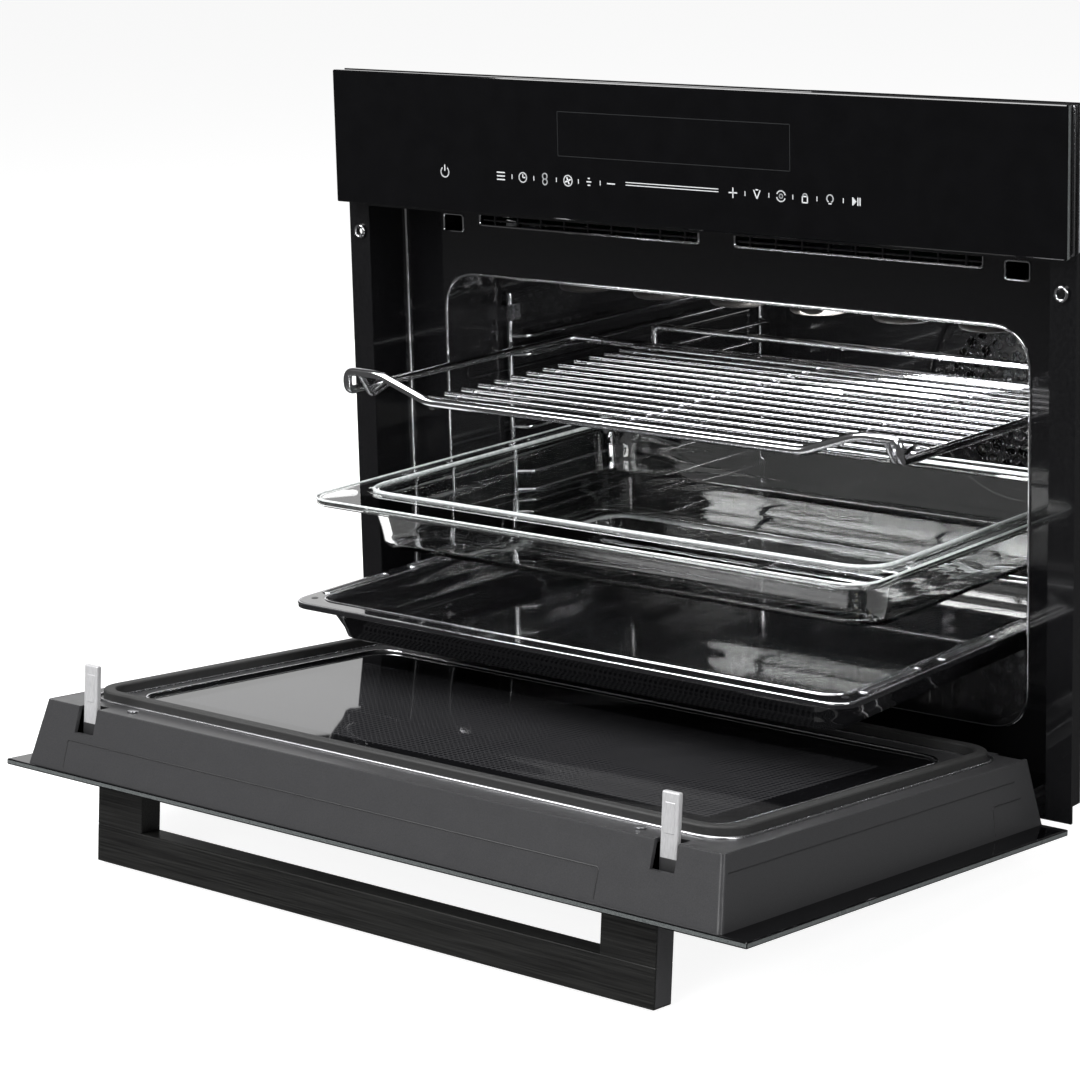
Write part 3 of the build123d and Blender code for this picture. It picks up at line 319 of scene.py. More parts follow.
@dataclass(frozen=True)
class Print:
    """Screen-printed ink that the backlight shows through.

    Args:
        name: material name.
        colour: ink colour.
        glow: emission strength.
    """

    name: str
    colour: tuple[float, float, float]
    glow: float

    def make(self) -> bpy.types.Material:
        """Builds the material.

        Returns:
            The material.
        """
        nodes = NodeTree(self.name)
        ink = nodes.noise(4000, 3.0, (1, 1, 1))
        shade = tuple(0.8 * c for c in self.colour)
        tone = nodes.ramp(ink, "Fac", shade, self.colour, (0.35, 0.6))
        nodes.link(tone, "Color", nodes.shader, "Base Color")
        nodes.link(tone, "Color", nodes.shader, "Emission Color")
        nodes.shader.inputs["Emission Strength"].default_value = self.glow
        nodes.shader.inputs["Roughness"].default_value = 0.4
        nodes.bump(ink, "Fac", 0.1, 0.00002)
        return nodes.material


OPEN_TILT = radians(84.6)
"""How far the shown door is turned from shut."""

FLAT = 0.3
"""Edge angle, in radians, that keeps the faces beside a narrow bevel flat."""

FINISHES = {
    "enamel": Coat(
        "enamel", (0.003, 0.003, 0.0035), (0.006, 0.006, 0.0065), 0.0, (0.05, 0.12), 420, coat=0.3
    ),
    "liner": Coat(
        "liner_enamel", (0.008, 0.008, 0.009), (0.02, 0.02, 0.021), 0.0, (0.08, 0.2), 900, coat=0.5
    ),
    "tray": Coat(
        "tray_enamel", (0.005, 0.005, 0.006), (0.014, 0.014, 0.015), 0.0, (0.04, 0.1), 600, coat=0.9
    ),
    "panel": Coat(
        "panel_glass", (0.0012, 0.0012, 0.0015), (0.002, 0.002, 0.0024), 0.0, (0.02, 0.05), 60,
        strength=0.02,
    ),
    "door_glass": Coat(
        "door_glass", (0.0012, 0.0012, 0.0015), (0.002, 0.002, 0.0024), 0.0, (0.02, 0.05), 50,
        strength=0.02,
    ),
    "glass_edge": Coat(
        "ground_glass_edge", (0.05, 0.055, 0.055), (0.13, 0.14, 0.14), 0.1, (0.2, 0.4), 1500
    ),
    # Pale opaque colour for the glass tray's rim and basin lines: painted highlights of the glass edges.
    "glass_highlight_line": Coat(
        "painted_highlight_glass_line", (0.5, 0.53, 0.53), (0.8, 0.83, 0.83), 0.0, (0.08, 0.2), 300, coat=0.8
    ),
    "housing": Coat(
        "door_housing", (0.035, 0.035, 0.037), (0.052, 0.052, 0.054), 0.25, (0.26, 0.4), 1600
    ),
    "plastic": Coat(
        "dark_plastic", (0.012, 0.012, 0.013), (0.022, 0.022, 0.023), 0.0, (0.35, 0.5), 2600
    ),
    "pale": Coat("pale_plastic", (0.42, 0.42, 0.43), (0.52, 0.52, 0.53), 0.0, (0.35, 0.5), 2200),
    "tongue": Coat(
        "satin_steel", (0.46, 0.46, 0.47), (0.6, 0.6, 0.61), 0.4, (0.3, 0.42), 90, (24, 24, 1)
    ),
    "rubber": Coat(
        "seal_rubber", (0.01, 0.01, 0.01), (0.028, 0.028, 0.028), 0.0, (0.55, 0.75), 3000
    ),
    "chrome": Coat(
        "chrome", (0.66, 0.66, 0.68), (0.82, 0.82, 0.84), 1.0, (0.05, 0.16), 800, strength=0.06
    ),
    "steel": Coat("steel", (0.34, 0.34, 0.35), (0.5, 0.5, 0.52), 1.0, (0.25, 0.4), 160, (1, 1, 24)),
    "brushed": Coat(
        "brushed_trim", (0.4, 0.4, 0.41), (0.6, 0.6, 0.62), 1.0, (0.2, 0.34), 60, (0.5, 60, 60)
    ),
    "aluminium": Coat(
        "cast_aluminium", (0.5, 0.5, 0.52), (0.66, 0.67, 0.69), 1.0, (0.3, 0.45), 1300
    ),
    "grain": Coat(
        "handle_grain", (0.006, 0.006, 0.006), (0.026, 0.026, 0.025), 0.3, (0.24, 0.38), 40,
        (0.4, 26, 26), 0.0002, 0.35,
    ),
    "heater": Coat(
        "heater_sheath", (0.03, 0.028, 0.026), (0.09, 0.085, 0.08), 0.6, (0.4, 0.6), 1200
    ),
    "wool": Coat(
        "mineral_wool", (0.32, 0.27, 0.16), (0.55, 0.49, 0.33), 0.0, (0.85, 0.95), 700, height=0.001
    ),
    "board": Coat(
        "circuit_board", (0.012, 0.06, 0.03), (0.03, 0.14, 0.07), 0.0, (0.35, 0.5), 260, coat=0.3
    ),
    "display": Coat(
        "display_window", (0.012, 0.013, 0.015), (0.018, 0.019, 0.021), 0.0, (0.08, 0.14), 500
    ),
    "zinc": Spangle("zinc_sheet", (0.42, 0.43, 0.45), (0.54, 0.55, 0.57), 210),
    "clear": Glass("clear_glass", (0.985, 0.995, 0.99), 26, 0.00012, 0.02),
    "lens": Glass("lamp_glass", (0.95, 0.95, 0.92), 160, 0.0008, 0.1),
    "screen": Screened("inner_door_glass", 0.0042, (0.214, 0.092), 0.19, pi / 2 - OPEN_TILT),
    "print": Print("panel_print", (0.5, 0.51, 0.52), 0.24),
    "faint": Print("faint_print", (0.012, 0.013, 0.014), 0.0),
}


"""The row's material slots, each with the finishes that stand for it."""


class Palette:
    """Makes each finish once and hands it out by name."""

    def __init__(self) -> None:
        self.made: dict[str, bpy.types.Material] = {}

    def get(self, name: str) -> bpy.types.Material:
        """Returns the named finish's material, making it the first time.

        Args:
            name: a key of FINISHES.
        Returns:
            The material.
        """
        if name not in self.made:
            self.made[name] = FINISHES[name].make()
        return self.made[name]


PALETTE = Palette()


# ------------------------------------------------------------------ shapes
class Form:
    """A mesh in the making, in millimetres of the row frame, shaped with bmesh operators."""

    def __init__(self) -> None:
        self.bm = bmesh.new()

    def bevel(self, edges: list, offset: float, segments: int = 2) -> None:
        """Rounds edges."""
        bmesh.ops.bevel(
            self.bm,
            geom=edges,
            offset=offset,
            segments=segments,
            profile=0.5,
            affect="EDGES",
            material=-1,
        )

    def box(self, low: tuple, high: tuple, edge: float = 0.0, place: Matrix | None = None) -> None:
        """Adds a block with softened edges.

        Args:
            low: lowest corner.
            high: highest corner.
            edge: edge rounding.
            place: where the block goes after it is made.
        """
        made = bmesh.ops.create_cube(self.bm, size=1.0)["verts"]
        size = Vector(high) - Vector(low)
        bmesh.ops.scale(self.bm, vec=size, verts=made)
        bmesh.ops.translate(self.bm, vec=(Vector(low) + Vector(high)) / 2, verts=made)
        if place is not None:
            bmesh.ops.transform(self.bm, matrix=place, verts=made)
        if edge > 0:
            self.bevel(list({e for v in made for e in v.link_edges}), edge)

    def disc(
        self, middle: tuple, axis: Axis, radius: float, depth: float, edge: float = 0.0, sides: int = 32
    ) -> None:
        """Adds a round block that starts at middle and runs along axis.

        Args:
            middle: centre of its first end.
            axis: its direction.
            radius: its radius.
            depth: its length, negative to run backwards.
            edge: rounding of both rims.
            sides: number of sides.
        """
        made = bmesh.ops.create_cone(
            self.bm, cap_ends=True, segments=sides, radius1=radius, radius2=radius, depth=abs(depth)
        )["verts"]
        turn = Vector((0, 0, 1)).rotation_difference(Vector(axis.value)).to_matrix().to_4x4()
        shift = Matrix.Translation(Vector(middle) + Vector(axis.value) * depth / 2)
        bmesh.ops.transform(self.bm, matrix=shift @ turn, verts=made)
        if edge > 0:
            rims = {e for v in made for e in v.link_edges}
            along = Vector(axis.value)
            flat = [e for e in rims if abs((e.verts[0].co - e.verts[1].co).dot(along)) < 1e-4]
            self.bevel(flat, edge)

    def tube(self, points: list[Vector], radius: float, sides: int = 12, closed: bool = False) -> None:
        """Adds a round wire along a line of points.

        Args:
            points: the wire's middle line.
            radius: its radius.
            sides: sides of its section.
            closed: whether its last point joins its first.
        """
        count = len(points)
        rings = []
        side = None
        for index, point in enumerate(points):
            before = points[index - 1] if index or closed else point
            after = points[(index + 1) % count] if index < count - 1 or closed else point
            along = (after - before).normalized()
            if side is None:
                side = along.orthogonal().normalized()
            side = (side - along * side.dot(along)).normalized()
            turn = Matrix((side, along.cross(side), along)).transposed().to_4x4()
            made = bmesh.ops.create_circle(self.bm, cap_ends=False, segments=sides, radius=radius)
            ring = made["verts"]
            bmesh.ops.transform(self.bm, matrix=Matrix.Translation(point) @ turn, verts=ring)
            rings.append([e for e in {e for v in ring for e in v.link_edges}])
        pairs = list(zip(rings, rings[1:] + rings[:1] if closed else rings[1:]))
        for first, second in pairs:
            bmesh.ops.bridge_loops(self.bm, edges=first + second)
        if not closed:
            bmesh.ops.contextual_create(self.bm, geom=rings[0])
            bmesh.ops.contextual_create(self.bm, geom=rings[-1])

    def sheet(self, low: tuple, high: tuple, corner: float, segments: int = 8) -> bmesh.types.BMFace:
        """Adds one flat rounded face that looks up.

        Args:
            low: lowest corner in X and Y, and its height.
            high: highest corner in X and Y.
            corner: corner radius.
            segments: segments of each corner.
        Returns:
            The face.
        """
        made = bmesh.ops.create_grid(self.bm, x_segments=1, y_segments=1, size=0.5)["verts"]
        bmesh.ops.scale(self.bm, vec=(high[0] - low[0], high[1] - low[1], 1), verts=made)
        middle = ((low[0] + high[0]) / 2, (low[1] + high[1]) / 2, low[2])
        bmesh.ops.translate(self.bm, vec=middle, verts=made)
        result = bmesh.ops.bevel(
            self.bm,
            geom=made,
            offset=corner,
            segments=segments,
            profile=0.5,
            affect="VERTICES",
            material=-1,
        )
        faces = {f for v in result["verts"] for f in v.link_faces}
        return next(iter(faces))

    def place(self, matrix: Matrix) -> None:
        """Moves everything made so far."""
        bmesh.ops.transform(self.bm, matrix=matrix, verts=self.bm.verts)

    def finish(
        self, name: str, finish: str, body: Body, *stands_for: str, smooth: float = 0.7
    ) -> bpy.types.Object:
        """Turns the mesh into a piece of the object.

        Args:
            name: the piece's name.
            finish: its finish.
            body: what it rides on.
            stands_for: the solids that it is shown in place of.
            smooth: edges flatter than this angle are shaded smooth.
        Returns:
            The object.
        """
        bmesh.ops.recalc_face_normals(self.bm, faces=self.bm.faces)
        bmesh.ops.scale(self.bm, vec=(MM, MM, MM), verts=self.bm.verts)
        for face in self.bm.faces:
            face.smooth = True
        for line in self.bm.edges:
            line.smooth = len(line.link_faces) == 2 and line.calc_face_angle(0) < smooth
        mesh = bpy.data.meshes.new(name)
        self.bm.to_mesh(mesh)
        self.bm.free()
        obj = bpy.data.objects.new(name, mesh)
        bpy.context.scene.collection.objects.link(obj)
        mesh.materials.append(PALETTE.get(finish))
        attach(obj, body.value)
        if stands_for:
            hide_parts(*stands_for)
        return obj


def bent(points: list[tuple], radius: float, steps: int = 5, closed: bool = False) -> list[Vector]:
    """A line of points with its corners rounded.

    Args:
        points: the corners.
        radius: how far before and after a corner the bend starts.
        steps: points in each bend.
        closed: whether the last corner joins the first.
    Returns:
        The rounded line.
    """
    line = [Vector(p) for p in points]
    count = len(line)
    rounded = []
    for index, corner in enumerate(line):
        if not closed and index in (0, count - 1):
            rounded.append(corner)
            continue
        before, after = line[index - 1], line[(index + 1) % count]
        reach = min(radius, (before - corner).length * 0.45, (after - corner).length * 0.45)
        start = corner + (before - corner).normalized() * reach
        end = corner + (after - corner).normalized() * reach
        for step in range(steps + 1):
            t = step / steps
            rounded.append(start.lerp(corner, t).lerp(corner.lerp(end, t), t))
    return rounded


def circle(x: float, y: float, z: float, radius: float, count: int) -> list[Vector]:
    """Points around an upright circle that faces the front.

    Args:
        x: middle, across.
        y: middle, depth.
        z: middle, height.
        radius: its radius.
        count: number of points.
    Returns:
        The points.
    """
    turns = (2 * pi * index / count for index in range(count))
    return [Vector((x + radius * cos(turn), y, z + radius * sin(turn))) for turn in turns]


# ------------------------------------------------------------------ sizes shared by pieces
DOOR_AXIS = Vector((0.0, -4.6, 4.0))
DOOR_UP = Vector((0.0, -sin(OPEN_TILT), cos(OPEN_TILT)))
DOOR_IN = Vector((0.0, cos(OPEN_TILT), sin(OPEN_TILT)))


def door_matrix() -> Matrix:
    """The door's own frame: X across, Y down the door towards the hinge, Z out of its inner face.

    Returns:
        The matrix from that frame to the row frame.
    """
    turn = Matrix((Vector((1, 0, 0)), -DOOR_UP, DOOR_IN)).transposed().to_4x4()
    return Matrix.Translation(DOOR_AXIS) @ turn


# ------------------------------------------------------------------ control panel
@dataclass(frozen=True)
class PanelSize:
    """Sizes of the control panel, mm."""

    half_width: float = 297.5
    bottom: float = 360.5
    top: float = 455.0
    front: float = -15.0
    back: float = -10.0
    ink: float = 0.12
    icon_height: float = 387.5
    scale: float = 0.68


LINE = 1.2
"""Width of a symbol's stroke, before the symbols' scale."""


class ControlPanel:
    """Glass fascia with its printed touch symbols and the trim behind it."""

    def __init__(self, size: PanelSize) -> None:
        self.size = size
        self.bright = Form()
        self.faint = Form()
        self.middle = 0.0

    def bar(
        self, x: float, z: float, width: float, height: float, form: Form, turn: float = 0.0
    ) -> None:
        """Adds one printed bar to the ink layer."""
        s = self.size
        place = Matrix.Translation((x, 0, z)) @ Matrix.Rotation(turn, 4, "Y")
        low = (-width / 2, s.front - s.ink, -height / 2)
        form.box(low, (width / 2, s.front + 0.05, height / 2), 0.0, place)

    def stroke(self, dx: float, dz: float, width: float, height: float, turn: float = 0.0) -> None:
        """Adds a bar of the current symbol, at the symbols' scale."""
        s = self.size
        z = s.icon_height + dz * s.scale
        self.bar(self.middle + dx * s.scale, z, width * s.scale, height * s.scale, self.bright, turn)

    def ring(
        self, dx: float, dz: float, radius: float, start: float = 0.0, sweep: float = 2 * pi
    ) -> None:
        """Adds a ring or arc of the current symbol, made of short strokes."""
        count = max(6, int(24 * sweep / (2 * pi)))
        step = sweep / count
        for index in range(count):
            angle = start + (index + 0.5) * step
            length = 2 * radius * sin(step / 2) + 0.5
            self.stroke(dx + radius * cos(angle), dz + radius * sin(angle), LINE, length, -angle)

    def symbols(self) -> None:
        """Draws the row of generic touch symbols."""
        self.middle = -194.5
        self.ring(0, 0, 5.2, radians(130), radians(280))
        self.stroke(0, 4.2, LINE, 6.5)
        self.middle = -143.9
        for row in (-3.6, 0.0, 3.6):
            self.stroke(0, row, 10.5, LINE)
        self.middle = -124.5
        self.ring(0, 0, 4.8)
        self.stroke(0, 1.6, LINE, 3.6)
        self.stroke(1.6, 0, 3.2, LINE)
        self.middle = -105.2
        for row in (-2.8, 2.8):
            self.ring(0, row, 2.8)
        self.middle = -85.2
        self.ring(0, 0, 5.2)
        for blade in range(4):
            angle = blade * pi / 2 + 0.4
            self.stroke(2.1 * cos(angle), 2.1 * sin(angle), 3.4, LINE * 1.3, -angle)
        self.middle = -67.2
        for row in (3.8, 0.4, -3.0):
            self.stroke(0, row, 6.4 - abs(row), LINE)
        self.middle = -48.5
        self.stroke(0, 0, 10.0, LINE)
        self.middle = 51.4
        self.stroke(0, 0, 10.0, LINE)
        self.stroke(0, 0, LINE, 10.0)
        self.middle = 70.4
        for lean in (-1, 1):
            self.stroke(lean * 1.9, 0, LINE, 9.0, lean * 0.42)
        self.stroke(0, 4.4, 3.0, LINE)
        self.middle = 89.2
        for turn in (0.0, pi):
            self.ring(0, 0, 5.0, turn + 0.3, 2.4)
        self.ring(0, 0, 1.8)
        self.middle = 107.7
        for side in (-1, 1):
            self.stroke(side * 2.9, -1.6, LINE, 6.0)
            self.stroke(0, side * 2.9 - 1.6, 6.0, LINE)
        self.ring(0, 1.6, 2.3, 0.0, pi)
        self.middle = 126.9
        self.ring(0, 1.0, 3.5, radians(-60), radians(300))
        self.stroke(0, -3.8, 3.4, LINE)
        self.middle = 146.5
        for step in range(4):
            self.stroke(-3.4 + step * 1.1, 0, LINE, 7.6 - step * 2.1)
        for bar_x in (2.2, 4.6):
            self.stroke(bar_x, 0, LINE, 7.6)
        for row in (-0.9, 0.9):
            self.bar(1.8, self.size.icon_height + 0.8 + row, 76.0, 0.55, self.bright)
        for divider in (-134.0, -114.8, -95.2, -76.2, -57.6, 61.0, 79.8, 98.4, 117.0, 137.0):
            self.middle = divider
            self.stroke(0, 0, 0.9, 4.6)

    def build(self) -> None:
        """Builds the glass, its ground edges, ink, display outline and trim."""
        s = self.size
        glass = Form()
        inset = 0.05
        low = (-s.half_width + inset, s.front, s.bottom + inset)
        glass.box(low, (s.half_width - inset, s.back, s.top), 0.9)
        glass.finish("panel_fascia", "panel", Body.OVEN, "control_panel_glass", smooth=FLAT)
        edges = Form()
        for side in (-1, 1):
            x = side * (s.half_width - 0.4)
            low = (x - 0.4, s.front + 1.1, s.bottom + 0.6)
            edges.box(low, (x + 0.4, s.back - 1.0, s.top - 0.6), 0.2)
        low = (-s.half_width + 0.9, s.front + 1.1, s.bottom)
        edges.box(low, (s.half_width - 0.9, s.back - 1, s.bottom + 0.6))
        edges.finish("panel_ground_edges", "glass_edge", Body.OVEN)
        self.symbols()
        self.bright.finish("panel_symbols", "print", Body.OVEN)
        for x, width in ((-93.3, 0.5), (96.3, 0.5)):
            self.bar(x, 419.0, width, 30.0, self.faint)
        for z in (404.0, 434.0):
            self.bar(1.5, z, 190.0, 0.5, self.faint)
        self.faint.finish("panel_faint_lines", "faint", Body.OVEN)
        trim = Form()
        for side in (-1, 1):
            x = side * (s.half_width - 1.6)
            trim.box((x - 0.8, -4.9, s.bottom + 1.5), (x + 0.8, -2.1, s.top - 1.5), 0.4)
        low = (-s.half_width + 2.5, -4.9, s.bottom + 0.6)
        trim.box(low, (s.half_width - 2.5, -2.1, s.bottom + 2.2), 0.4)
        trim.finish("panel_metal_trim", "brushed", Body.OVEN)


# ------------------------------------------------------------------ oven front and cavity
@dataclass(frozen=True)
class FrontSize:
    """Sizes of the front frame and the cavity, mm."""

    half_width: float = 279.0
    recess_bottom: float = 1.5
    recess_top: float = 357.0
    flange: float = 38.0
    cavity_half: float = 243.0
    cavity_bottom: float = 41.0
    cavity_top: float = 307.0
    corner: float = 30.0
    bead: float = 1.3
    vent_bottom: float = 343.0
    vent_top: float = 354.0
    vent_inner: float = 15.0
    vent_outer: float = 208.0
    frame_half: float = 296.6
    frame_top: float = 454.0
    slot_x: float = 233.0
    slot_z: float = 343.0
    slot_half: tuple[float, float] = (9.0, 6.0)
    eyelet_x: float = 287.5
    eyelet_z: float = 338.0
    eyelet_radius: float = 4.1
    fan_height: float = 173.0
    fan_y: float = 437.5
    rear: float = 449.5


class OvenFront:
    """Rolled edges and vent lips on the front frame, chrome to paint their highlights, its plugs, and the
    fan guard.
    """

    def __init__(self, size: FrontSize) -> None:
        self.size = size

    def outline(self, half: float, bottom: float, top: float, y: float) -> list[tuple]:
        """Corners of an upright rectangle."""
        return [(-half, y, bottom), (half, y, bottom), (half, y, top), (-half, y, top)]

    def build(self) -> None:
        """Builds the pieces."""
        s = self.size
        # Chrome bead round the cavity's mouth: a painted highlight on the opening's rounded enamel edge.
        lip = Form()
        gap = 0.4
        bottom, top = s.cavity_bottom + gap, s.cavity_top - gap
        mouth = self.outline(s.cavity_half - gap, bottom, top, s.flange + 0.1)
        lip.tube(bent(mouth, s.corner, 12, True), s.bead, 10, True)
        lip.finish("cavity_mouth_highlight_bead", "chrome", Body.OVEN)
        # Chrome tubes along the frame's rolled front edges, outer edges, the recess's rear corner and the
        # slot outlines: painted highlights on the black enamel frame.
        edge = Form()
        for side in (-1, 1):
            x = side * s.half_width
            rolled = x + side * 1.3
            foot, head = s.recess_bottom, s.recess_top
            edge.tube([Vector((rolled, -0.9, foot)), Vector((rolled, -0.9, head))], 1.1, 10)
            outer = side * s.frame_half
            edge.tube([Vector((outer, -1.2, 1.0)), Vector((outer, -1.2, s.frame_top))], 0.8, 10)
            inner, rear = x - side * 0.8, s.flange - 0.9
            edge.tube([Vector((inner, rear, 3.0)), Vector((inner, rear, s.recess_top))], 1.5, 10)
            wide, high = s.slot_half
            signs = ((-1, -1), (1, -1), (1, 1), (-1, 1))
            slot_x, slot_y = side * s.slot_x, s.flange - 0.2
            slot = [(slot_x + a * wide, slot_y, s.slot_z + b * high) for a, b in signs]
            edge.tube(bent(slot, 2, 4, True), 0.8, 8, True)
        edge.finish("frame_folded_edge_highlights", "chrome", Body.OVEN)
        lips = Form()
        louvres = Form()
        for side in (-1, 1):
            low, high = sorted((side * s.vent_inner, side * s.vent_outer))
            corners = [(low, 37.6, s.vent_bottom), (high, 37.6, s.vent_bottom)]
            corners += [(high, 37.6, s.vent_top), (low, 37.6, s.vent_top)]
            # The lips' chrome colour paints the bright highlights round the vent openings.
            lips.tube(bent(corners, 3, 4, True), 0.9, 8, True)
            for louvre in range(9):
                x = side * (s.vent_inner + 12 + louvre * 21.0)
                louvres.box((x - 0.7, 38.3, s.vent_bottom), (x + 0.7, 42.0, s.vent_top), 0.2)
            for slat in (346.5, 350.5):
                louvres.box((low + 1, 38.6, slat - 0.6), (high - 1, 44.0, slat + 0.6), 0.2)
        louvres.finish("vent_louvres", "enamel", Body.OVEN)
        lips.finish("vent_lip_highlights", "chrome", Body.OVEN)
        eyelets = Form()
        for side in (-1, 1):
            eyelets.tube(circle(side * s.eyelet_x, -3.2, s.eyelet_z, s.eyelet_radius, 24), 1.0, 10, True)
        eyelets.finish("fixing_eyelet_rims", "chrome", Body.OVEN)
        self.fan_guard()
        self.contacts()

    def fan_guard(self) -> None:
        """Builds the pressed rings around the fan cover and its honeycomb of rivets."""
        s = self.size
        rings = Form()
        pressed = ((86, s.rear - 1.6, 1.6), (77, s.rear - 2.6, 1.4), (68, s.fan_y + 0.6, 0.9))
        for radius, y, thick in pressed:
            rings.tube(circle(0, y, s.fan_height, radius, 64), thick, 8, True)
        for x, z in ((0.0, 66.0), (57.0, -33.0), (-57.0, -33.0)):
            rings.disc((x, s.fan_y + 0.4, s.fan_height + z), Axis.Y, 3.6, -2.0, 0.6, 20)
        rings.finish("fan_cover_rings", "liner", Body.OVEN)
        mesh = Form()
        pitch, hole, reach = 7.4, 2.9, 62.0
        for row in range(-8, 9):
            for column in range(-9, 10):
                x = (column + 0.5 * (row % 2)) * pitch
                z = row * pitch * 0.866
                if x * x + z * z < reach**2:
                    mesh.tube(circle(x, s.fan_y - 0.2, s.fan_height + z, hole, 6), 0.45, 5, True)
        mesh.finish("fan_cover_honeycomb", "chrome", Body.OVEN)

    def contacts(self) -> None:
        """Builds the embossed marks on the cavity side walls."""
        s = self.size
        marks = Form()
        for side in (-1, 1):
            for z in (86.0, 155.0, 224.0):
                x = side * (s.cavity_half - 0.6)
                loop = [(x, 60, z), (x, 420, z), (x, 420, z + 9), (x, 60, z + 9)]
                marks.tube(bent(loop, 4, 4, True), 0.9, 8, True)
        marks.finish("cavity_wall_beads", "liner", Body.OVEN)


# ------------------------------------------------------------------ side racks
@dataclass(frozen=True)
class RackSize:
    """Sizes of the side racks, mm."""

    post_x: float = 237.5
    rail_x: float = 226.0
    front: float = 104.0
    rear: float = 428.0
    bottom: float = 60.0
    top: float = 282.0
    bend: float = 8.0
    post: float = 2.2
    rail: float = 1.8
    first: float = 69.5
    pitch: float = 34.5
    levels: int = 6
    drop: float = 6.1
    guard: float = 8.0


class SideRacks:
    """Chromed ladders of wire on the cavity's side walls."""

    def __init__(self, size: RackSize) -> None:
        self.size = size

    def build(self) -> None:
        """Builds both racks."""
        s = self.size
        for name, side in (("left", -1), ("right", 1)):
            rack = Form()
            for y in (s.front, s.rear):
                x = side * s.post_x
                rack.tube([Vector((x, y, s.bottom)), Vector((x, y, s.top))], s.post, 12)
            for number in range(s.levels):
                for offset in (-s.drop, s.guard):
                    z = s.first + s.pitch * number + offset
                    corners = [
                        (side * s.post_x, s.front, z),
                        (side * s.rail_x, s.front + s.bend, z),
                        (side * s.rail_x, s.rear - s.bend, z),
                        (side * s.post_x, s.rear, z),
                    ]
                    rack.tube(bent(corners, 4), s.rail, 12)
            rack.finish(f"rack_wires_{name}", "chrome", Body.OVEN, f"side_rack_{name}")


# ------------------------------------------------------------------ shelf and trays
@dataclass(frozen=True)
class ShelfSize:
    """Sizes of the wire shelf, mm."""

    front: float = -89.0
    rear: float = 163.0
    rail: float = 226.0
    height: float = 241.0
    dip_height: float = 240.5
    top: float = 255.0
    shoulder: float = 196.0
    dip: float = 154.0
    wire: float = 3.0
    grid: float = 1.8
    grid_left: float = 160.0
    grid_right: float = 224.0
    first: float = -79.0
    last: float = 156.0
    count: int = 14
    guard: float = 256.0
    guard_left: float = 148.0


class WireShelf:
    """Chromed wire shelf with a dipped front bar, stops and a raised rear guard."""

    def __init__(self, size: ShelfSize) -> None:
        self.size = size

    def build(self) -> None:
        """Builds the shelf."""
        s = self.size
        shelf = Form()
        edge = [
            (-s.dip, s.front, s.dip_height),
            (s.dip, s.front, s.dip_height),
            (s.shoulder, s.front, s.top),
            (s.rail, s.front, s.top),
            (s.rail, s.front, s.height),
            (s.rail, s.rear, s.height),
            (-s.rail, s.rear, s.height),
            (-s.rail, s.front, s.height),
            (-s.rail, s.front, s.top),
            (-s.shoulder, s.front, s.top),
        ]
        shelf.tube(bent(edge, 7, 6, True), s.wire, 16, True)
        guard = [(-s.guard_left, s.rear, s.height), (-s.guard_left, s.rear, s.guard)]
        guard += [(s.rail, s.rear, s.guard), (s.rail, s.rear, s.height)]
        shelf.tube(bent(guard, 6, 6), 2.4, 14)
        for row in range(s.count):
            y = s.first + (s.last - s.first) * row / (s.count - 1)
            start, end = (-s.grid_left, y, s.height), (s.grid_right, y, s.height)
            shelf.tube([Vector(start), Vector(end)], s.grid, 12)
            shelf.disc((-s.grid_left, y, s.height), Axis.X, s.grid * 0.98, -0.5, 0.4, 12)
        for x in (-150.0, 0.0, 150.0):
            shelf.tube([Vector((x, s.front, 237.1)), Vector((x, s.rear, 237.1))], 2.16, 12)
        for x in (-60.0, 20.0, 100.0, 180.0):
            shelf.disc((x, s.rear - 3, s.guard - 0.6), Axis.Y, 2.0, 2.4, 0.8, 12)
        for side in (-1, 1):
            stop = [
                (side * 215.0, s.front, s.top),
                (side * 215.0, s.front + 12.0, s.height - 4),
                (side * 215.0, s.front + 34.0, s.height + 3),
                (side * s.rail, s.front + 40.0, s.height),
            ]
            shelf.tube(bent(stop, 5, 6), 2.2, 12)
        shelf.finish("wire_shelf_wires", "chrome", Body.SHELF, "wire_shelf")


@dataclass(frozen=True)
class TraySize:
    """Sizes of one tray, mm."""

    name: str
    stands_for: str
    finish: str
    body: Body
    half: float
    front: float
    rear: float
    top: float
    rim_side: float
    rim_front: float
    rim_rear: float
    depth: float
    slope: float
    wall: float
    corner: float
    lip: float
    rolled: bool


def oblong(half: float, near: float, far: float, height: float) -> list[tuple]:
    """Corners of a level rectangle, middle on X = 0."""
    return [(-half, near, height), (half, near, height), (half, far, height), (-half, far, height)]


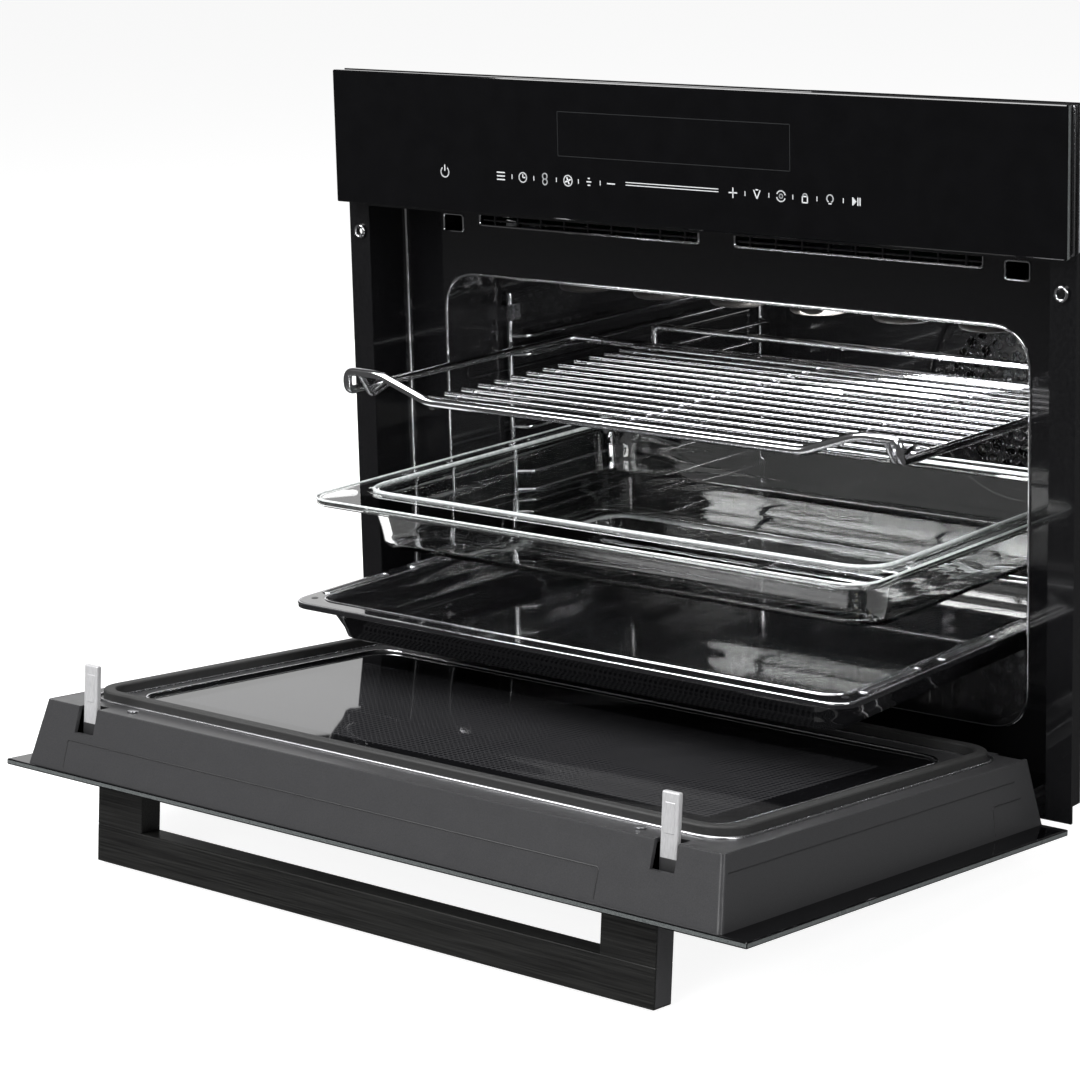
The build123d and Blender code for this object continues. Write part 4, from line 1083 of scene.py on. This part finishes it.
class Tray:
    """A pressed or moulded tray with a flat rim and sloping sides."""

    def __init__(self, size: TraySize) -> None:
        self.size = size

    def levels(self) -> list[tuple[float, float, float, float, float]]:
        """Outlines from the rim's edge to the floor: half width, front, rear, height, corner."""
        s = self.size
        half = s.half - s.rim_side
        front, rear = s.front + s.rim_front, s.rear - s.rim_rear
        rows = [(s.half, s.front, s.rear, s.top - s.lip, s.corner)]
        rows.append((s.half, s.front, s.rear, s.top - 0.8, s.corner))
        rows.append((s.half - 0.8, s.front + 0.8, s.rear - 0.8, s.top, s.corner - 0.8))
        rows.append((s.half - 2.4, s.front + 2.4, s.rear - 2.4, s.top, s.corner - 1.6))
        rows.append((half + 3.5, front - 3.5, rear + 3.5, s.top, s.corner + 1))
        rows.append((half + 1.5, front - 1.5, rear + 1.5, s.top, s.corner + 2))
        for step in range(1, 9):
            t = step / 8
            ease = 0.5 - 0.5 * cos(pi * t) if step in (1, 2, 7) else t
            inset = s.slope * t
            drop = (s.depth - s.wall) * ease
            corner = s.corner - s.slope * 0.3 * t
            rows.append((half - inset, front + inset, rear - inset, s.top - drop, corner))
        floor = rows[-1]
        rows.append((floor[0] - 4, floor[1] + 4, floor[2] - 4, floor[3] - 0.02, max(4.0, floor[4] - 3)))
        return rows

    def build(self) -> None:
        """Builds the tray's shell, with its thickness."""
        s = self.size
        tray = Form()
        loops = []
        for half, front, rear, height, corner in self.levels():
            face = tray.sheet((-half, front, height), (half, rear), corner)
            loops.append((face, list(face.edges)))
        for (first, edges), (_, following) in zip(loops, loops[1:]):
            bmesh.ops.delete(tray.bm, geom=[first], context="FACES_ONLY")
            bmesh.ops.bridge_loops(tray.bm, edges=edges + following)
        bmesh.ops.recalc_face_normals(tray.bm, faces=tray.bm.faces)
        floor = max(tray.bm.faces, key=lambda f: f.calc_area())
        if floor.normal.z < 0:
            bmesh.ops.reverse_faces(tray.bm, faces=tray.bm.faces)
        bmesh.ops.solidify(tray.bm, geom=list(tray.bm.faces), thickness=s.wall)
        tray.finish(s.name, s.finish, s.body, s.stands_for, smooth=0.9)
        if s.rolled:
            self.rolled_rim()
        else:
            self.highlight_rim_lines()

    def highlight_rim_lines(self) -> None:
        """Builds pale lines around the rim and the basin, painted highlights of the glass edges."""
        s = self.size
        lines = (("rim", 0.6, 0.8, s.corner), ("basin", None, 1.5, s.corner + 6))
        for name, inset, radius, corner in lines:
            line = Form()
            side = inset if inset is not None else s.rim_side
            front = inset if inset is not None else s.rim_front
            x, near, far = s.half - side, s.front + front, s.rear - side
            path = oblong(x, near, far, s.top)
            line.tube(bent(path, corner, 12, True), radius, 10, True)
            line.finish(f"{s.name}_{name}_line", "glass_highlight_line", s.body)

    def rolled_rim(self) -> None:
        """Builds the rolled rim wire, chrome-coloured as a painted highlight along the enamel rim, and
        the dark slots punched beside it.
        """
        s = self.size
        # The rim wire's chrome colour paints the highlight that runs along the enamel tray's rolled rim.
        bead = Form()
        outer = oblong(s.half - 1, s.front + 1, s.rear - 1, s.top - 0.9)
        bead.tube(bent(outer, s.corner, 10, True), 0.95, 10, True)
        near, far = s.front + s.rim_front, s.rear - s.rim_rear
        basin = oblong(s.half - s.rim_side, near, far, s.top - 0.2)
        bead.tube(bent(basin, s.corner, 10, True), 0.8, 10, True)
        bead.finish(f"{s.name}_rim_highlight_bead", "chrome", s.body)
        slots = Form()
        middle = s.half - s.rim_side / 2 - 0.5
        for side in (-1, 1):
            for y in (s.front + 62, s.front + 152):
                x = side * middle
                slots.box((x - 2.2, y - 31, s.top - 0.2), (x + 2.2, y + 31, s.top + 0.15), 0.0)
            slots.disc((side * (middle - 3), s.front + 16, s.top - 0.2), Axis.Z, 2.4, 0.35, 0.0, 20)
        slots.finish(f"{s.name}_slot_marks", "plastic", s.body)
        lips = Form()
        for side in (-1, 1):
            for y in (s.front + 62, s.front + 152):
                x = side * middle
                near = [(x - 2.8, y - 32, s.top), (x + 2.8, y - 32, s.top)]
                path = near + [(x + 2.8, y + 32, s.top), (x - 2.8, y + 32, s.top)]
                lips.tube(bent(path, 2.4, 5, True), 0.9, 10, True)
        lips.finish(f"{s.name}_slot_lips", "chrome", s.body)


GLASS_TRAY = TraySize(
    "glass_tray_dish", "glass_tray", "clear", Body.DISH,
    229.0, -135.0, 210.0, 173.0, 17.0, 40.0, 17.0, 40.0, 8.0, 3.6, 22.0, 4.2, False,
)
BAKING_TRAY = TraySize(
    "baking_tray_pan", "baking_tray", "tray", Body.SHEET,
    229.0, -155.0, 190.0, 104.0, 14.0, 14.0, 14.0, 28.0, 13.0, 1.4, 17.0, 3.9, True,
)


# ------------------------------------------------------------------ door
@dataclass(frozen=True)
class DoorSize:
    """Sizes of the door in its own frame, mm: up from the hinge, in from the hinge's plane."""

    half_width: float = 297.5
    length: float = 353.0
    glass_low: float = -10.4
    glass_high: float = -6.4
    face_half: float = 272.0
    face_top: float = 341.5
    side_slope: float = 7.0 / 42.4
    top_slope: float = 10.0 / 42.4
    face: float = 36.0
    window_half: float = 236.0
    window_bottom: float = 50.0
    window_top: float = 295.0
    window_corner: float = 20.0
    inner_glass: float = 35.0
    seal_half: float = 254.0
    seal_bottom: float = 24.0
    seal_top: float = 314.0
    handle_half: float = 226.0
    handle_leg: float = 40.0
    handle_top: float = 338.0
    handle_thickness: float = 17.0
    handle_near: float = -10.4
    handle_bar_near: float = -39.4
    handle_far: float = -64.4
    hook_x: float = 233.0


class Door:
    """Glass, beads, seams, mesh window, hooks and handle of the drop-down door."""

    def __init__(self, size: DoorSize) -> None:
        self.size = size
        self.place = door_matrix()

    def ring(
        self, form: Form, half: float, low: float, high: float, depth: float, corner: float, radius: float
    ) -> None:
        """Adds a closed bead around the door's face."""
        form.tube(bent(oblong(half, -low, -high, depth), corner, 10, True), radius, 10, True)

    def flank(self, depth: float) -> float:
        """Half width of the door body at a depth."""
        return self.size.face_half + self.size.side_slope * (self.size.face - depth)

    def front(self, depth: float) -> float:
        """Height of the door body's top edge at a depth."""
        return self.size.face_top + self.size.top_slope * (self.size.face - depth)

    def build(self) -> None:
        """Builds every piece of the door."""
        self.glass()
        self.face_trim()
        self.seams()
        self.handle()
        self.hooks()

    def glass(self) -> None:
        """Builds the outer glass with its ground edge, and the inner glass."""
        s = self.size
        outer = Form()
        inset = 0.05
        wide = s.half_width - inset
        outer.box((-wide, -s.length + inset, s.glass_low), (wide, 0, s.glass_high), 0.7)
        outer.place(self.place)
        outer.finish("door_outer_pane", "door_glass", Body.DOOR, "door_outer_glass", smooth=FLAT)
        edge = Form()
        wide = s.half_width - 0.4
        edge.box((-wide, -s.length, s.glass_low + 0.9), (wide, -s.length + 0.6, s.glass_high - 0.9))
        for side in (-1, 1):
            x = side * (s.half_width - 0.3)
            low = (x - 0.3, -s.length + 0.8, s.glass_low + 0.9)
            edge.box(low, (x + 0.3, -0.8, s.glass_high - 0.9))
        edge.place(self.place)
        edge.finish("door_ground_edges", "glass_edge", Body.DOOR)
        inner = Form()
        thick = 4
        low = (-s.window_half, -s.window_top, s.inner_glass - thick)
        face = inner.sheet(low, (s.window_half, -s.window_bottom), s.window_corner, 10)
        raised = bmesh.ops.extrude_face_region(inner.bm, geom=[face], use_keep_orig=True)["geom"]
        top = [g for g in raised if isinstance(g, bmesh.types.BMVert)]
        bmesh.ops.translate(inner.bm, vec=(0, 0, thick), verts=top)
        rims = [e for e in inner.bm.edges if abs(e.verts[0].co.z - e.verts[1].co.z) < 0.01]
        inner.bevel(rims, 0.5)
        inner.place(self.place)
        inner.finish("door_inner_pane", "screen", Body.DOOR, "door_inner_glass", smooth=FLAT)

    def face_trim(self) -> None:
        """Builds the bright bead around the window and the pressed steps beyond it."""
        s = self.size
        bead = Form()
        out = 0.6
        low, high = s.window_bottom - out, s.window_top + out
        self.ring(bead, s.window_half + out, low, high, s.face, s.window_corner, 1.1)
        bead.place(self.place)
        bead.finish("door_window_bead", "chrome", Body.DOOR)
        steps = Form()
        for out, corner, radius in ((5.5, 24, 1.2), (-6.5, 16, 0.9)):
            low, high = s.seal_bottom - out, s.seal_top + out
            self.ring(steps, s.seal_half + out, low, high, s.face + 0.2, corner, radius)
        steps.place(self.place)
        steps.finish("door_face_steps", "brushed", Body.DOOR)

    def seams(self) -> None:
        """Builds the cover seam, side seams, screw heads and rounded rims of the door body."""
        s = self.size
        seam = Form()
        cover = [(-246.0, -4.0), (-246.0, 13.8), (190.0, 13.8), (190.0, -4.0)]
        seam.tube(bent([(x, -self.front(depth), depth) for x, depth in cover], 2), 0.4, 8)
        for side in (-1, 1):
            turns = ((58.0, -4.0), (58.0, 14.0), (24.0, 14.0))
            groove = [(side * self.flank(depth), -y, depth) for y, depth in turns]
            seam.tube(bent(groove, 2), 0.4, 8)
            deep = 25.0
            edge = side * self.flank(deep)
            start = Vector((edge, -self.front(deep) + 5, deep))
            seam.tube([start, Vector((edge, -30.0, deep))], 0.35, 8)
        seam.place(self.place)
        seam.finish("door_body_seams", "plastic", Body.DOOR)
        rims = Form()
        for side in (-1, 1):
            x = side * (s.face_half - 0.7)
            start = Vector((x, -s.face_top + 3, s.face - 0.7))
            rims.tube([start, Vector((x, -16, s.face - 0.7))], 0.9, 8)
        y = -s.face_top + 0.7
        for start, end in ((-268.0, -242.5), (-223.5, 223.5), (242.5, 268.0)):
            rims.tube([Vector((start, y, s.face - 0.7)), Vector((end, y, s.face - 0.7))], 0.9, 8)
        rims.place(self.place)
        rims.finish("door_body_rims", "housing", Body.DOOR)
        screws = Form()
        for side in (-1, 1):
            for up in (17.0, 329.0):
                screws.disc((side * 205.0, -up, s.face), Axis.Z, 3.6, 1.2, 0.5, 24)
        screws.place(self.place)
        screws.finish("door_face_screws", "steel", Body.DOOR)

    def handle(self) -> None:
        """Builds the bar handle on its two legs."""
        s = self.size
        low = -s.handle_top
        high = -s.handle_top + s.handle_thickness
        handle = Form()
        handle.box((-s.handle_half, low, s.handle_far), (s.handle_half, high, s.handle_bar_near), 0.8)
        for side in (-1, 1):
            inner, outer = sorted((side * (s.handle_half - s.handle_leg), side * s.handle_half))
            handle.box((inner, low, s.handle_bar_near - 0.6), (outer, high, s.handle_near), 0.8)
        handle.place(self.place)
        handle.finish("handle_bar_and_legs", "grain", Body.DOOR, "handle", smooth=FLAT)
        caps = Form()
        for side in (-1, 1):
            x = side * (s.handle_half - 0.1)
            inset = 1.2
            start = (x - 0.25, low + inset, s.handle_far + inset)
            caps.box(start, (x + 0.25, high - inset, s.handle_near - inset), 0.2)
        caps.place(self.place)
        caps.finish("handle_end_caps", "housing", Body.DOOR)

    def hooks(self) -> None:
        """Builds the latch hooks: a pale hooked tongue, with a dark block and pivot round its foot whose
        darkness paints the shade of the notch it stands in.
        """
        s = self.size
        for body, name, side in ((Body.LATCH_LEFT, "left", -1), (Body.LATCH_RIGHT, "right", 1)):
            x = side * s.hook_x
            hook = Form()
            hook.box((x - 6, -340.0, 12.0), (x + 6, -336.0, 64.0), 0.9)
            hook.box((x - 3.5, -340.4, 40.0), (x + 3.5, -335.6, 58.0), 0.4)
            hook.place(self.place)
            hook.finish(f"latch_tongue_{name}", "tongue", body, f"latch_hook_{name}", smooth=FLAT)
            # Dark plastic block and pivot over the tongue's lower part: painted shade of the notch the
            # hook stands in.
            shade_sleeve = Form()
            shade_sleeve.box((x - 6, -340.2, 6.0), (x + 6, -335.8, 26.0), 0.6)
            shade_sleeve.disc((x - 5.9, -338.0, 10.0), Axis.X, 4.9, 11.8, 0.4, 28)
            shade_sleeve.place(self.place)
            shade_sleeve.finish(f"latch_root_{name}", "plastic", body)


# ------------------------------------------------------------------ casing
class Casing:
    """Folded edges and rib pressings of the hidden casing."""

    def build(self) -> None:
        """Builds the pieces."""
        ribs = Form()
        for side in (-1, 1):
            x = side * 280.5
            for y in (140.0, 300.0, 460.0):
                near, far = y - 50, y + 50
                loop = [(x, near, 60), (x, far, 60), (x, far, 290), (x, near, 290)]
                ribs.tube(bent(loop, 12, 6, True), 1.2, 8, True)
        ribs.finish("casing_side_ribs", "zinc", Body.OVEN)
        seams = Form()
        for side in (-1, 1):
            x = side * 279.8
            seams.tube([Vector((x, 2.0, 445.2)), Vector((x, 543.0, 385.7))], 1.0, 8)
        seams.finish("top_cover_folds", "zinc", Body.OVEN)


CARRIED_OVER = {
    "enamel": ("front_frame", "latch_housing_left", "latch_housing_right"),
    "liner": ("cavity_liner", "fan_cover", "fan_chamber"),
    "zinc": (
        "base_plate", "side_panel_left", "side_panel_right", "rear_panel", "top_cover",
        "control_box_sides", "service_deck", "waveguide",
    ),
    "housing": ("door_housing",),
    "rubber": ("door_seal", "glass_spacers"),
    "plastic": ("panel_carrier", "blower_housing", "blower_impeller"),
    "display": ("display_module",),
    "chrome": ("rack_clips",),
    "steel": (
        "door_hinge_left", "door_hinge_right", "hinge_receiver_left", "hinge_receiver_right",
        "hinge_pins", "hook_pins", "handle_screws", "fan_motor", "stirrer_motor", "blower_motor",
        "temperature_probe", "door_screen", "case_screws",
    ),
    "pale": ("terminal_block", "lamp_holder", "stirrer_cover"),
    "wool": ("insulation",),
    "aluminium": ("hot_air_fan", "mode_stirrer", "magnetron"),
    "board": ("control_board", "inverter_board", "touch_board"),
    "heater": ("grill_element", "ring_heater"),
    "clear": ("door_middle_glass",),
    "lens": ("lamp_lens",),
}


def dress() -> None:
    """Gives each carried-over solid its finish."""
    for finish, names in CARRIED_OVER.items():
        for name in names:
            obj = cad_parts[name]
            obj.data.materials.clear()
            obj.data.materials.append(PALETTE.get(finish))


# ------------------------------------------------------------------ stage
@dataclass(frozen=True)
class Lamp:
    """One soft light: where it is, what it looks at, its size and power."""

    name: str
    place: tuple[float, float, float]
    target: tuple[float, float, float]
    size: float
    power: float


LAMPS = (
    Lamp("key_light", (-1.1, -1.7, 2.1), (0.0, -0.1, 0.2), 1.3, 75.0),
    Lamp("side_light", (2.3, -0.6, 1.2), (0.0, -0.1, 0.2), 1.0, 26.0),
    Lamp("front_light", (0.3, -2.6, 1.4), (0.0, 0.2, 0.2), 1.0, 24.0),
    Lamp("cavity_fill", (0.08, 0.1, 0.284), (0.0, 0.44, 0.16), 0.1, 1.6),
    Lamp("top_light", (0.0, -0.2, 2.4), (0.0, 0.0, 0.0), 2.2, 60.0),
    Lamp("back_glow", (-1.4, 1.0, 0.62), (-0.2, -0.2, 0.1), 1.4, 5.5),
)


class Studio:
    """Floor, world, lights and camera."""

    def build(self) -> None:
        """Builds the stage."""
        self.floor()
        self.world()
        for lamp in LAMPS:
            self.light(lamp)
        self.camera()

    def floor(self) -> None:
        """Builds the plain pale floor."""
        form = bmesh.new()
        bmesh.ops.create_grid(form, x_segments=1, y_segments=1, size=9.0)
        bmesh.ops.translate(form, vec=(0, 0, -0.0305), verts=form.verts)
        mesh = bpy.data.meshes.new("floor")
        form.to_mesh(mesh)
        form.free()
        floor = bpy.data.objects.new("floor", mesh)
        bpy.context.scene.collection.objects.link(floor)
        nodes = NodeTree("floor")
        nodes.shader.inputs["Base Color"].default_value = (0.36, 0.36, 0.36, 1.0)
        nodes.shader.inputs["Roughness"].default_value = 0.8
        nodes.shader.inputs["Emission Color"].default_value = (1.0, 1.0, 1.0, 1.0)
        nodes.shader.inputs["Emission Strength"].default_value = 0.9
        mesh.materials.append(nodes.material)
        floor.visible_glossy = False

    def world(self) -> None:
        """Builds a world that is white behind the object and dim in its reflections."""
        world = bpy.data.worlds.new("studio")
        world.use_nodes = True
        tree = world.node_tree
        background = tree.nodes["Background"]
        background.inputs["Color"].default_value = (1.0, 1.0, 1.0, 1.0)
        path = tree.nodes.new("ShaderNodeLightPath")
        level = tree.nodes.new("ShaderNodeMapRange")
        level.inputs["To Min"].default_value = 0.08
        level.inputs["To Max"].default_value = 1.0
        seen = tree.nodes.new("ShaderNodeMath")
        seen.operation = "MAXIMUM"
        tree.links.new(path.outputs["Is Camera Ray"], seen.inputs[0])
        tree.links.new(path.outputs["Is Transmission Ray"], seen.inputs[1])
        tree.links.new(seen.outputs["Value"], level.inputs["Value"])
        tree.links.new(level.outputs["Result"], background.inputs["Strength"])
        bpy.context.scene.world = world
        bpy.context.scene.view_settings.view_transform = "Standard"

    def light(self, lamp: Lamp) -> None:
        """Adds one area light.

        Args:
            lamp: the light.
        """
        data = bpy.data.lights.new(lamp.name, "AREA")
        data.size = lamp.size
        data.energy = lamp.power
        obj = bpy.data.objects.new(lamp.name, data)
        bpy.context.scene.collection.objects.link(obj)
        obj.location = lamp.place
        toward = Vector(lamp.target) - Vector(lamp.place)
        obj.rotation_euler = toward.to_track_quat("-Z", "Y").to_euler()
        obj.visible_camera = False

    def camera(self) -> None:
        """Adds the camera at the product view."""
        yaw, pitch, roll = 0.681, 0.209, -0.025
        right = Vector((cos(yaw), sin(yaw), 0))
        ahead = Vector((-sin(yaw) * cos(pitch), cos(yaw) * cos(pitch), -sin(pitch)))
        above = right.cross(ahead)
        across = right * cos(roll) + above * sin(roll)
        upward = above * cos(roll) - right * sin(roll)
        data = bpy.data.cameras.new("camera")
        data.sensor_width = 36.0
        data.lens = 105.86
        data.shift_y = -0.0741
        data.clip_start = 0.05
        obj = bpy.data.objects.new("camera", data)
        bpy.context.scene.collection.objects.link(obj)
        turn = Matrix((across, upward, -ahead)).transposed().to_4x4()
        obj.matrix_world = Matrix.Translation((1.2448, -1.6939, 0.6491)) @ turn
        bpy.context.scene.camera = obj


def main() -> None:
    """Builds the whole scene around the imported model."""
    logging.basicConfig(level=logging.INFO)
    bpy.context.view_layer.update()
    dress()
    ControlPanel(PanelSize()).build()
    OvenFront(FrontSize()).build()
    SideRacks(RackSize()).build()
    WireShelf(ShelfSize()).build()
    Tray(GLASS_TRAY).build()
    Tray(BAKING_TRAY).build()
    Door(DoorSize()).build()
    Casing().build()
    Studio().build()


if __name__ == "__main__":
    main()
